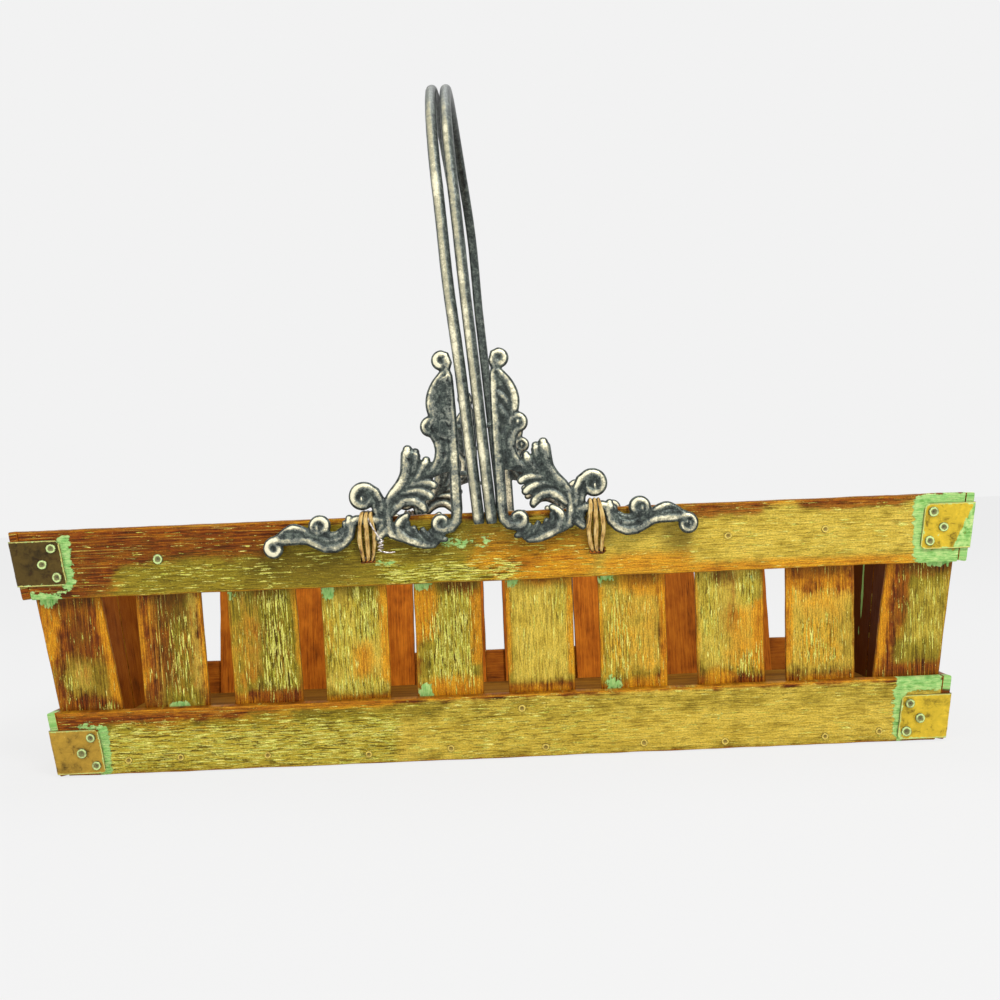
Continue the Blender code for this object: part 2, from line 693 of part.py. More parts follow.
def bracket_webs():
    """Webs that fill a scroll between its strokes, as outlines in shares."""
    wing_shares = [(0.030, 0.800), (0.072, 0.772), (0.118, 0.690), (0.130, 0.620),
                   (0.124, 0.560), (0.145, 0.530), (0.130, 0.480), (0.090, 0.440),
                   (0.030, 0.420)]
    leaf_shares = [(0.025, 0.450), (0.090, 0.450), (0.080, 0.370), (0.095, 0.310),
                   (0.140, 0.265), (0.205, 0.220), (0.150, 0.214), (0.080, 0.236),
                   (0.025, 0.250)]
    fan_shares = [(0.152, 0.180), (0.205, 0.235), (0.225, 0.300), (0.262, 0.370),
                  (0.300, 0.340), (0.310, 0.240), (0.390, 0.130), (0.418, 0.040),
                  (0.425, -0.030), (0.398, 0.020), (0.350, 0.070), (0.300, 0.092),
                  (0.245, 0.082), (0.205, 0.060), (0.180, 0.110)]
    shell_shares = [(0.060, -0.085), (0.140, -0.100), (0.210, -0.115), (0.290, -0.105),
                    (0.345, -0.060), (0.380, -0.040), (0.420, -0.030), (0.430, -0.075),
                    (0.370, -0.110), (0.300, -0.140), (0.220, -0.160), (0.140, -0.155)]
    curl_shares = [(0.450, -0.050), (0.452, 0.050), (0.470, 0.130), (0.500, 0.150),
                   (0.492, 0.080), (0.480, 0.010), (0.482, -0.060)]
    hook_shares = [(0.645, -0.040), (0.690, -0.065), (0.760, -0.080), (0.800, -0.020),
                   (0.850, -0.050), (0.920, -0.035), (1.010, -0.040), (1.080, -0.090),
                   (1.090, -0.140), (1.050, -0.090), (0.920, -0.090), (0.780, -0.140),
                   (0.700, -0.130)]
    return [wing_shares, leaf_shares, fan_shares, shell_shares, curl_shares, hook_shares]


def web_mesh(outline, collection):
    """Flat web: a filled outline with a depth."""
    data = bpy.data.curves.new("web", "CURVE")
    data.dimensions = "2D"
    data.fill_mode = "BOTH"
    data.extrude = WEB_THICKNESS / 2
    spline = data.splines.new("POLY")
    spline.points.add(len(outline) - 1)
    for point, (along, up) in zip(spline.points, outline):
        point.co = (BRACKET_SPAN * along, BRACKET_SPAN * up, 0.0, 1.0)
    spline.use_cyclic_u = True
    mesh = curve_to_mesh(bpy.data.objects.new("web", data), collection)
    mesh.transform(Matrix.Rotation(math.pi / 2, 4, "X"))
    return mesh


def stroke_mesh(stroke, collection):
    """Tube of one stroke, flattened to the casting's depth."""
    points = [(BRACKET_SPAN * along, 0.0, BRACKET_SPAN * up) for along, up, weight in stroke]
    radii = [BRACKET_STROKE * weight for along, up, weight in stroke]
    mesh = curve_to_mesh(tube_curve("stroke", points, radii, 1), collection)
    mesh.transform(Matrix.Diagonal((1.0, BRACKET_DEPTH_SHARE, 1.0, 1.0)))
    return mesh


def drop_specks(bm):
    """Remove what isn't joined to the highest point, as the thinning leaves flat specks."""
    reached = {max(bm.verts, key=lambda vert: vert.co.z)}
    front = list(reached)
    while front:
        vert = front.pop()
        near = {edge.other_vert(vert) for edge in vert.link_edges} - reached
        reached |= near
        front.extend(near)
    specks = [vert for vert in bm.verts if vert not in reached]
    bmesh.ops.delete(bm, geom=specks, context="VERTS")


def join_strokes(cutters):
    """Mesh of one scroll: its strokes and webs melted together, then thinned."""
    meshes = [stroke_mesh(stroke, cutters) for stroke in bracket_strokes()]
    meshes += [web_mesh(outline, cutters) for outline in bracket_webs()]
    bm = bmesh.new()
    for mesh in meshes:
        bm.from_mesh(mesh)
        bpy.data.meshes.remove(mesh)
    joined = bpy.data.meshes.new("scroll")
    bm.to_mesh(joined)
    bm.free()
    body = add_object("scroll_body", joined, None, cutters)
    skin = body.modifiers.new("skin", "REMESH")
    skin.mode = "VOXEL"
    skin.voxel_size = SCROLL_VOXEL
    thinning = body.modifiers.new("thinning", "DECIMATE")
    thinning.ratio = SCROLL_KEPT_SHARE
    bpy.context.view_layer.update()
    evaluated = body.evaluated_get(bpy.context.evaluated_depsgraph_get())
    mesh = bpy.data.meshes.new_from_object(evaluated)
    bm = bmesh.new()
    bm.from_mesh(mesh)
    drop_specks(bm)
    bmesh.ops.triangulate(bm, faces=bm.faces)
    bm.to_mesh(mesh)
    bm.free()
    bpy.data.objects.remove(body)
    return mesh


def bracket_side(hand):
    """Direction in which a bracket reaches from the rods."""
    return -1 if hand == "left" else 1


def back_shift(wall):
    """Sideways shift of what stands at the back, where the turned handle meets the rim."""
    return 2 * handle_radius() * math.tan(HANDLE_TWIST) if wall == "back" else 0.0


def bracket_plane(wall):
    """Depth of a bracket's middle plane, just outside the rim."""
    widest = BRACKET_STROKE * BRACKET_DEPTH_SHARE * BRACKET_WIDEST_SHARE
    plane = RIM_WIDTH / 2 + FIT_GAP + widest
    return -plane if wall == "front" else plane


def bracket_matrix(wall, hand):
    """Place of a bracket: mirrored by hand, leaning with the handle."""
    origin_x = LEFT_BRACKET_X if hand == "left" else RIGHT_BRACKET_X
    place = Vector((origin_x + back_shift(wall), bracket_plane(wall), BASKET_HEIGHT))
    lean = Matrix.Rotation(-BRACKET_LEAN, 4, "Y")
    mirror = Matrix.Diagonal((bracket_side(hand), 1.0, 1.0, 1.0))
    return Matrix.Translation(place) @ lean @ mirror


def bracket_point(wall, hand, along_share, up_share):
    """World place of a point of a bracket's middle plane, given in shares."""
    local = Vector((BRACKET_SPAN * along_share, 0.0, BRACKET_SPAN * up_share))
    return bracket_matrix(wall, hand) @ local


def make_brackets(collection, cutters):
    """Four cast scrolls from one pattern."""
    pattern = join_strokes(cutters)
    for wall in ("front", "back"):
        for hand in ("left", "right"):
            mesh = pattern.copy()
            mesh.transform(bracket_matrix(wall, hand))
            if hand == "left":
                mesh.flip_normals()
            piece = add_object(f"{wall}_{hand}_bracket", mesh, handle_metal(), collection)
            mesh.shade_smooth()
            mesh.set_sharp_from_angle(angle=SMOOTH_ANGLE)
            piece.location = (0, 0, 0)
    bpy.data.meshes.remove(pattern)


def make_pins(collection):
    """Short pins that join each bracket's spine to the rod beside it."""
    for wall in ("front", "back"):
        rod_y = -handle_radius() if wall == "front" else handle_radius()
        for hand, shares in PIN_SHARES.items():
            side = bracket_side(hand)
            for label, up, centre, weight in shares:
                spine = bracket_point(wall, hand, centre, up)
                near_rod = rod_x(side, rod_y, spine.z) + side * (ROD_RADIUS + FIT_GAP)
                near_spine = spine.x - side * (BRACKET_STROKE * weight + FIT_GAP)
                middle = Vector(((near_spine + near_rod) / 2, spine.y, spine.z))
                bm = bmesh.new()
                bmesh.ops.create_cone(
                    bm, cap_ends=True, segments=PIN_SIDES, radius1=PIN_RADIUS, radius2=PIN_RADIUS,
                    depth=abs(near_spine - near_rod),
                    matrix=Matrix.Translation(middle) @ Matrix.Rotation(math.pi / 2, 4, "Y"))
                name = f"{wall}_{hand}_{label}_pin"
                pin = add_object(name, finish_mesh(bm, name), handle_metal(), collection)
                pin.data.shade_smooth()
                pin.data.set_sharp_from_angle(angle=SMOOTH_ANGLE)


def tie_centres(wall):
    """Places along a long wall where its two ties pass through."""
    return [LEFT_TIE_X + back_shift(wall), RIGHT_TIE_X + back_shift(wall)]


def smooth_loop(stations, count):
    """Points at even parameter on a closed smooth curve through the stations."""
    total = len(stations)
    points = []
    for n in range(count):
        place = n * total / count
        index = int(place)
        t = place - index
        a, b, c, d = [stations[(index + k) % total] for k in (-1, 0, 1, 2)]
        points.append(tuple(
            ((-t + 2 * t**2 - t**3) * a[k] + (2 - 5 * t**2 + 3 * t**3) * b[k]
             + (t + 4 * t**2 - 3 * t**3) * c[k] + (t**3 - t**2) * d[k]) / 2
            for k in (0, 1)))
    return points


def tie_anchors(hand):
    """Places that a loop passes, as outward depth and height."""
    keep = CANE_RADIUS + CANE_CLEARANCE
    slot = BASKET_HEIGHT - TIE_SLOT_DROP
    low = slot + TIE_SLOT_DROP / 3
    inner = [half_width(z) - level_depth("front", slat_inner_depth())
             for z in (slot, low, BASKET_HEIGHT)]
    bar = bracket_point("front", hand, *BAR_PLACE_SHARES)
    bar_front = -bar.y + BRACKET_STROKE * BAR_STROKE_SHARE * BRACKET_DEPTH_SHARE + keep
    outside = half_width(slot) + keep
    return {
        "slot_inside": (inner[0], slot),
        "slot_middle": ((inner[0] + outside) / 2, slot),
        "slot_outside": (outside, slot),
        "under_bar": ((outside * 2 + bar_front) / 3, low),
        "bar_front": (bar_front, bar.z),
        "bar_top": (-bar.y, bar.z + BRACKET_STROKE * BAR_STROKE_SHARE + keep),
        "over_rim": ((inner[2] - bar.y) / 2, BASKET_HEIGHT),
        "rim_inside": (inner[2], BASKET_HEIGHT),
        "wall_inside": ((inner[1] + inner[2]) / 2, (BASKET_HEIGHT + low) / 2),
        "low_inside": (inner[1], low),
    }


def tie_stations(hand):
    """Stations of one loop, each an anchor shifted by shares of the cane's clearance."""
    keep = CANE_RADIUS + CANE_CLEARANCE
    anchors = tie_anchors(hand)
    return [(anchors[label][0] + keep * out, anchors[label][1] + keep * rise)
            for label, out, rise in TIE_STATION_SHARES]


def tie_path(wall, hand):
    """Middle line of one winding: loops side by side, spread at half height."""
    side = -1 if wall == "front" else 1
    centre = tie_centres(wall)[0 if hand == "left" else 1]
    slot = BASKET_HEIGHT - TIE_SLOT_DROP
    loop = smooth_loop(tie_stations(hand), CANE_LOOP_POINTS)
    total = CANE_LOOPS * CANE_LOOP_POINTS - 2
    points = []
    for n in range(total):
        out, z = loop[n % CANE_LOOP_POINTS]
        turn = n / CANE_LOOP_POINTS
        rise = min(1.0, max(0.0, (z - slot) / TIE_SLOT_DROP))
        step = CANE_STEP + CANE_SPREAD * math.sin(math.pi * rise)
        x = centre - bracket_side(hand) * (turn - (CANE_LOOPS - 1) / 2 - CANE_SLOT_TURN) * step
        points.append(Vector((x, side * out, z)))
    end = TUBE_END_DIAMETERS * CANE_RADIUS
    first = points[0] + (points[0] - points[1]).normalized() * end
    last = points[-1] + (points[-1] - points[-2]).normalized() * end
    return [first, *points, last]


def least_gap(points, radius, apart):
    """Least gap between stretches of a tube that are some way apart along it."""
    runs = [0.0]
    for a, b in zip(points, points[1:]):
        runs.append(runs[-1] + (b - a).length)
    gap = math.inf
    for i, a in enumerate(points):
        for j in range(i + 1, len(points) - 1):
            if runs[j] - runs[i] > apart:
                b, c = points[j], points[j + 1]
                t = min(1.0, max(0.0, (a - b).dot(c - b) / (c - b).length_squared))
                gap = min(gap, (a - b.lerp(c, t)).length - 2 * radius)
    return gap


def make_ties(collection):
    """Four cane windings, each one unbroken tube."""
    for wall in ("front", "back"):
        for hand in ("left", "right"):
            points = tie_path(wall, hand)
            name = f"{wall}_{hand}_tie"
            gap = least_gap(points, CANE_RADIUS, 6 * CANE_RADIUS)
            print(f"{name}: least gap to itself {gap * 1000:.2f} mm")
            tie = tube_curve(name, points, [CANE_RADIUS] * len(points), 1)
            collection.objects.link(tie)
            tie.data.materials.append(cane())


def wire_path():
    """Middle line of the binding wire: down over the tie, a twist, then a tail."""
    bar = bracket_point("front", "left", WIRE_BAR_SHARE, 0.0)
    tie_front = tie_anchors("left")["bar_front"][0] + CANE_RADIUS
    front = -(tie_front + WIRE_RADIUS + FIT_GAP)
    knot_top = bar.z - TIE_SLOT_DROP / 2
    knot_x = bar.x + WIRE_KNOT_SHIFT
    start = Vector((bar.x - CANE_STEP / 2, front, bar.z + CANE_RADIUS))
    points = [start, Vector((start.x + CANE_RADIUS, front, bar.z - CANE_STEP))]
    total = WIRE_KNOT_TURNS * WIRE_KNOT_TURN_POINTS
    for n in range(total + 1):
        angle = 2 * math.pi * n / WIRE_KNOT_TURN_POINTS
        points.append(Vector((
            knot_x + WIRE_KNOT_RADIUS * math.sin(angle),
            front - WIRE_KNOT_RADIUS * (1 - math.cos(angle)),
            knot_top - WIRE_KNOT_HEIGHT * n / total)))
    end = points[-1]
    for along, inwards, up in WIRE_TAIL_SHARES:
        tail = Vector((WIRE_KNOT_RADIUS * along, WIRE_KNOT_RADIUS * inwards, WIRE_RADIUS * up))
        points.append(end + tail)
    return points


def make_wire(collection):
    """Binding wire of the front left tie."""
    points = wire_path()
    gap = least_gap(points, WIRE_RADIUS, 6 * WIRE_RADIUS)
    print(f"front_left_wire: least gap to itself {gap * 1000:.2f} mm")
    wire = tube_curve("front_left_wire", points, [WIRE_RADIUS] * len(points), 1)
    collection.objects.link(wire)
    wire.data.materials.append(wire_metal())


def main():
    """Build the whole basket."""
    for piece in list(bpy.data.objects):
        bpy.data.objects.remove(piece)
    basket = new_collection("slat_basket")
    cutters = new_collection("cutters")
    rails = make_rails(basket)
    make_board(basket)
    slats = make_slats(basket)
    make_plates(basket)
    cut_slots(rails, slats, cutters)
    for hand in ("left", "right"):
        make_rod(hand, basket)
    make_brackets(basket, cutters)
    make_pins(basket)
    make_ties(basket)
    make_wire(basket)


main()
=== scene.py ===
"""Wooden slat basket with an arched handle of two rods on four cast scroll brackets.

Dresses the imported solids: worn painted boards, bent corner plates with their nails,
a pitted handle, cast scrolls and cane lashings. Metres, +Z up, front towards -Y.
"""

import math
import random

import bmesh
import bpy
import numpy as np
from bpy.props import FloatProperty, FloatVectorProperty, PointerProperty
from bpy.types import NodeSocket, Operator, Panel, PropertyGroup
from mathutils import Matrix, Vector, noise


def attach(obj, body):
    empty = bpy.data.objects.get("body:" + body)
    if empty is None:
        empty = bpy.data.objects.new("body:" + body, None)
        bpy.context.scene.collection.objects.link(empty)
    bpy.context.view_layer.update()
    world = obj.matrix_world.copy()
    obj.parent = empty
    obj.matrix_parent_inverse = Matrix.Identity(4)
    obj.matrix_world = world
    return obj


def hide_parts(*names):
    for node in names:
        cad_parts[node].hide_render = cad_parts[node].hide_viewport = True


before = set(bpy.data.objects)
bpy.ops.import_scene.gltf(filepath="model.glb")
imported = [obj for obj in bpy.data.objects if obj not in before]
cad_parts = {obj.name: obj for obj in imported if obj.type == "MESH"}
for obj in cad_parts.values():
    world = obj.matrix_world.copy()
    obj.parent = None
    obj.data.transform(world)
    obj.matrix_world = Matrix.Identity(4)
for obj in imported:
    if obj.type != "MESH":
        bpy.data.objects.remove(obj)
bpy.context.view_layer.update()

bl_info = {
    "name": "Slat Basket",
    "version": (1, 0, 0),
    "blender": (4, 5, 0),
    "location": "View3D > Sidebar > Basket",
    "description": "Worn painted slat basket with a cast scroll handle",
    "category": "Add Mesh",
}

MM = 0.001
WALLS = ("front", "back", "left", "right")
LONG_WALLS = ("front", "back")
HANDS = ("left", "right")
FIT_GAP = 0.3 * MM


def size_property(name, description, default):
    """Length that a user may change."""
    return FloatProperty(name=name, description=description, default=default, unit="LENGTH")


def colour_property(name, description, default):
    """Colour that a user may change."""
    return FloatVectorProperty(
        name=name, description=description, default=default, subtype="COLOR", min=0, max=1)


class BasketSizes(PropertyGroup):
    """Sizes of the basket's pieces."""

    rim_length: size_property("Rim length", "Outer length at the rim", 0.560)
    base_length: size_property("Base length", "Outer length at the base", 0.525)
    rim_width: size_property("Rim width", "Outer width at the rim", 0.200)
    base_width: size_property("Base width", "Outer width at the base", 0.165)
    height: size_property("Height", "Height of the walls", 0.146)
    rail_thickness: size_property("Rail thickness", "Thickness of the rails", 0.005)
    top_rail: size_property("Top rail", "Height of the top rails", 0.040)
    bottom_rail: size_property("Bottom rail", "Height of the bottom rails", 0.0385)
    slat_thickness: size_property("Slat thickness", "Thickness of the slats", 0.003)
    plate_length: size_property("Plate length", "Length of a corner plate on each wall", 0.029)
    plate_height: size_property("Plate height", "Height of a corner plate", 0.0265)
    plate_sheet: size_property("Plate sheet", "Thickness of the plates' sheet", 0.0008)
    plate_corner: size_property("Plate corner", "Radius of a plate's free corners", 0.0035)
    nail_radius: size_property("Nail radius", "Radius of a nail head", 0.0029)
    nail_height: size_property("Nail height", "Height of a nail head", 0.0011)
    rod_radius: size_property("Rod radius", "Radius of the handle's rods", 0.00325)
    handle_top: size_property("Handle top", "Height of the handle", 0.4279)
    rail_nail_radius: size_property("Rail nail radius", "Radius of a rail's nail head", 0.0022)
    back_top_rail: size_property("Back top rail", "Height of the back top rail", 0.042)
    back_bottom_rail: size_property(
        "Back bottom rail", "Height of the back bottom rail", 0.0425)
    scroll_voxel: size_property("Scroll detail", "Grain of the melted castings", 0.00045)
    scroll_extra: size_property("Scroll extra", "Thickening of the scrolls' strokes", 0.00085)


class BasketColours(PropertyGroup):
    """Colours of the basket's finishes."""

    # Dark wood is also the colour of painted shade on the inner faces, in the tie slots and along
    # the boards' edges.
    dark_wood: colour_property("Dark wood", "Stained wood in the grain", (0.045, 0.010, 0.001))
    red_wood: colour_property("Red wood", "Red-brown stained wood", (0.20, 0.042, 0.003))
    orange_wood: colour_property("Orange wood", "Rubbed orange wood", (0.50, 0.165, 0.006))
    # Edge wood also colours the painted highlight along the boards' edges.
    edge_wood: colour_property("Edge wood", "Bright rubbed edges", (0.72, 0.34, 0.012))
    # Dark olive is also the colour of the painted shade in the dark patches.
    dark_olive: colour_property("Dark olive", "Cracks in the olive paint", (0.070, 0.042, 0.003))
    olive: colour_property("Olive", "Olive paint", (0.25, 0.185, 0.012))
    brown_gold: colour_property("Brown gold", "Shaded golden glaze", (0.50, 0.330, 0.030))
    gold: colour_property("Gold", "Golden glaze over the paint", (0.54, 0.370, 0.038))
    pale_gold: colour_property("Pale gold", "Rubbed golden glaze", (0.78, 0.600, 0.105))
    moss: colour_property("Moss", "Yellow-green glaze", (0.39, 0.345, 0.020))
    lime: colour_property("Lime", "Rubbed yellow-green streaks", (0.56, 0.550, 0.060))
    pale_lime: colour_property("Pale lime", "Crests of the streaks", (0.82, 0.770, 0.220))
    deep_mint: colour_property("Deep mint", "Shaded green paint", (0.13, 0.400, 0.075))
    mint: colour_property("Mint", "Mint green paint", (0.32, 0.640, 0.190))
    pale_mint: colour_property("Pale mint", "Rubbed green paint", (0.60, 0.780, 0.300))
    bronze: colour_property("Bronze", "Dark olive-brown sheet", (0.085, 0.052, 0.009))
    brown_brass: colour_property("Brown brass", "Golden-brown sheet", (0.42, 0.250, 0.030))
    brass: colour_property("Brass", "Bright golden sheet", (0.62, 0.430, 0.028))
    black_metal: colour_property("Black metal", "Grooves of the castings", (0.008, 0.010, 0.009))
    casting: colour_property("Casting", "Dark grey-green metal", (0.052, 0.066, 0.058))
    green_metal: colour_property("Green metal", "Paler patches of the metal", (0.17, 0.200, 0.160))
    pewter: colour_property("Pewter", "Grey worn metal", (0.25, 0.265, 0.220))
    tan_metal: colour_property("Tan metal", "Golden rub on the crests", (0.50, 0.460, 0.290))
    # Rubbed, tan metal and pewter also colour the painted highlight on the castings and the rods.
    rubbed: colour_property("Rubbed", "Cream rubbed crests", (0.88, 0.825, 0.590))
    cane_cream: colour_property("Cream cane", "Highlights of the cane", (0.80, 0.600, 0.240))
    cane_pale: colour_property("Pale cane", "Outer skin of the cane", (0.56, 0.330, 0.070))
    cane_dark: colour_property("Dark cane", "Grooves of the cane", (0.10, 0.035, 0.005))
    wire: colour_property("Wire", "Silvery wire", (0.78, 0.720, 0.680))
    backdrop: colour_property("Backdrop", "Pale floor and surroundings", (0.888, 0.888, 0.888))


def sizes():
    """The basket's sizes."""
    return bpy.context.scene.basket_sizes


def colour(shade):
    """One of the basket's colours by its name, or any other value as it is."""
    if isinstance(shade, str):
        return (*getattr(bpy.context.scene.basket_colours, shade), 1.0)
    return shade


# Geometry of the walls, as the solids have it


def half_length(z):
    """Half of the outer length at height z."""
    s = sizes()
    return (s.base_length + (s.rim_length - s.base_length) * z / s.height) / 2


def half_width(z):
    """Half of the outer width at height z."""
    s = sizes()
    return (s.base_width + (s.rim_width - s.base_width) * z / s.height) / 2


def is_long(wall):
    """Whether the wall is the front or the back."""
    return wall in LONG_WALLS


def wall_slope(wall):
    """Outward run of the wall for each unit of height."""
    s = sizes()
    if is_long(wall):
        return (s.rim_width - s.base_width) / 2 / s.height
    return (s.rim_length - s.base_length) / 2 / s.height


def wall_axes(wall):
    """Unit vectors along the wall and out of it, both level."""
    along = Vector((1, 0, 0)) if is_long(wall) else Vector((0, 1, 0))
    out = {"front": (0, -1, 0), "back": (0, 1, 0), "left": (-1, 0, 0), "right": (1, 0, 0)}
    return along, Vector(out[wall])


def wall_normal(wall):
    """Unit vector square to the wall's outer face."""
    return (wall_axes(wall)[1] - Vector((0, 0, wall_slope(wall)))).normalized()


def level_depth(wall, depth):
    """Level distance that a depth square to the wall takes up."""
    return depth * math.hypot(1.0, wall_slope(wall))


def wall_point(wall, along, depth, z):
    """Point at a place along the wall, at a depth behind its outer face, at a height."""
    axis, out = wall_axes(wall)
    face = half_width(z) if is_long(wall) else half_length(z)
    return axis * along + out * (face - level_depth(wall, depth)) + Vector((0, 0, z))


def ease(value, low, high):
    """Smooth step from 0 at low to 1 at high."""
    share = min(1.0, max(0.0, (value - low) / (high - low)))
    return share * share * (3 - 2 * share)


# Modelling helpers


def deselect():
    """Leave object mode with nothing selected."""
    if bpy.context.mode != "OBJECT":
        bpy.ops.object.mode_set(mode="OBJECT")
    bpy.ops.object.select_all(action="DESELECT")


def take(piece):
    """Make a piece the only selected and active one."""
    deselect()
    piece.select_set(True)
    bpy.context.view_layer.objects.active = piece


def apply_modifiers(piece):
    """Apply all of a piece's modifiers, in order."""
    take(piece)
    for modifier in list(piece.modifiers):
        bpy.ops.object.modifier_apply(modifier=modifier.name)


def apply_place(piece):
    """Move a piece's place into its mesh."""
    take(piece)
    bpy.ops.object.transform_apply(location=True, rotation=True, scale=True)


def new_object(name, data):
    """Object of a mesh, curve, lamp or camera, in the scene."""
    piece = bpy.data.objects.new(name, data)
    bpy.context.scene.collection.objects.link(piece)
    return piece


def add_grid(name, across, up):
    """Flat unit grid with a number of cells each way."""
    deselect()
    bpy.ops.mesh.primitive_grid_add(x_subdivisions=across, y_subdivisions=up, size=1.0)
    grid = bpy.context.object
    grid.name = name
    grid.data.name = name
    return grid


def add_bevel(piece, width, angle):
    """Rounding of the edges that are sharper than an angle in degrees."""
    bevel = piece.modifiers.new("edges", "BEVEL")
    bevel.width = width
    bevel.segments = 2
    bevel.limit_method = "ANGLE"
    bevel.angle_limit = math.radians(angle)


def add_shell(piece, thickness, offset):
    """Thickening of a sheet."""
    shell = piece.modifiers.new("thickness", "SOLIDIFY")
    shell.thickness = thickness
    shell.offset = offset
    return shell


def finish_shape(piece, angle):
    """Apply a piece's modifiers and smooth all but the edges sharper than an angle."""
    apply_modifiers(piece)
    bpy.ops.object.shade_smooth_by_angle(angle=math.radians(angle))


def place_piece(piece, nodes=()):
    """Let a finished piece ride on the basket and stand for its nodes."""
    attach(piece, "root")
    if nodes:
        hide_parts(*nodes)


def point_rows(mesh, name):
    """Places or normals of a mesh's points, one row for each."""
    values = np.zeros(len(mesh.vertices) * 3)
    mesh.vertices.foreach_get(name, values)
    return values.reshape(-1, 3)


def paint(mesh, name, values):
    """Store one number for each point of a mesh."""
    attribute = mesh.attributes.new(name, "FLOAT", "POINT")
    attribute.data.foreach_set("value", np.asarray(values, np.float32))


# Finishes

MIDDLE = -0.5  # Brings a noise from 0 to 1 to around 0
WOOD_SHINE = 0.12
PLATE_SHINE = 0.25


class Recipe:
    """Builds one procedural finish, node by node."""

    def __init__(self, name):
        self.material = bpy.data.materials.new(name)
        self.material.use_nodes = True
        self.nodes = self.material.node_tree.nodes
        self.links = self.material.node_tree.links
        self.shader = self.nodes["Principled BSDF"]
        places = self.nodes.new("ShaderNodeTexCoord")
        self.solid = places.outputs["Object"]
        self.surface = places.outputs["UV"]

    def feed(self, socket, value):
        """Link a socket to an output, or set it to a plain value or a colour."""
        if isinstance(value, NodeSocket):
            self.links.new(value, socket)
        else:
            socket.default_value = colour(value)

    def add(self, kind, settings, **values):
        """New node with its settings, its inputs fed by their names in small letters."""
        node = self.nodes.new("ShaderNode" + kind)
        for name, value in settings.items():
            setattr(node, name, value)
        for name, value in values.items():
            self.feed(node.inputs[name.replace("_", " ").title()], value)
        return node

    def math(self, operation, *numbers):
        """Result of one sum on numbers."""
        node = self.add("Math", {"operation": operation})
        for socket, number in zip(node.inputs, numbers):
            self.feed(socket, number)
        return node.outputs[0]

    def clouds(self, place, scale, detail=4.0, rough=0.55, bend=0.0):
        """Noise from 0 to 1."""
        return self.add("TexNoise", {}, vector=place, scale=scale, detail=detail,
                        roughness=rough, distortion=bend).outputs["Fac"]

    def grained(self, place, scale, detail, rough, bend=0.0, shift=(0, 0, 0)):
        """Noise from 0 to 1, stretched by its own scale on each axis."""
        mapping = self.add("Mapping", {}, vector=place, scale=scale, location=shift)
        return self.clouds(mapping.outputs["Vector"], 1.0, detail, rough, bend)

    def painted(self, name):
        """Number stored on the mesh."""
        return self.add("Attribute", {"attribute_name": name}).outputs["Fac"]

    def sum(self, first, second, factor=1.0):
        """first + second * factor."""
        return self.math("MULTIPLY_ADD", second, factor, first)

    def stray(self, value, pattern, reach):
        """Value moved up and down by a pattern, as far as reach / 2 each way."""
        return self.sum(value, self.sum(pattern, MIDDLE), reach)

    def times(self, first, second):
        """Product of two numbers."""
        return self.math("MULTIPLY", first, second)

    def band(self, value, low, high, start=0.0, end=1.0):
        """Smooth step of a value from start at low to end at high."""
        return self.add("MapRange", {"interpolation_type": "SMOOTHSTEP"}, value=value,
                        from_min=low, from_max=high, to_min=start, to_max=end).outputs["Result"]

    def blend(self, share, first, second):
        """Mix of two colours."""
        node = self.add("Mix", {"data_type": "RGBA"}, factor=share, a=first, b=second)
        return node.outputs["Result"]

    def ramp(self, value, *stops):
        """Colour ramp with (place, colour) stops."""
        node = self.add("ValToRGB", {}, fac=value)
        elements = node.color_ramp.elements
        while len(elements) < len(stops):
            elements.new(1.0)
        for element, (place, shade) in zip(elements, stops):
            element.position = place
            element.color = colour(shade)
        return node.outputs["Color"]

    def bump(self, height, distance, strength=1.0, under=None):
        """Surface relief of a height, in metres."""
        node = self.add("Bump", {}, height=height, distance=distance, strength=strength)
        if under is not None:
            self.feed(node.inputs["Normal"], under)
        return node.outputs["Normal"]

    def dimmed(self, shade, factor):
        """Shade times a number."""
        node = self.add("VectorMath", {"operation": "SCALE"}, vector=shade, scale=factor)
        return node.outputs["Vector"]

    def finish(self, base, roughness, normal=None, metallic=0.0, shine=0.5):
        """Connect the shader and return the material."""
        self.shader.inputs["Specular IOR Level"].default_value = shine
        self.feed(self.shader.inputs["Base Color"], base)
        self.feed(self.shader.inputs["Roughness"], roughness)
        self.feed(self.shader.inputs["Metallic"], metallic)
        if normal is not None:
            self.feed(self.shader.inputs["Normal"], normal)
        return self.material


def mint_stops(low):
    """Ramp stops of the green paint, its shaded one at low."""
    return ((low, "deep_mint"), (0.50, "mint"), (0.62, "pale_mint"))


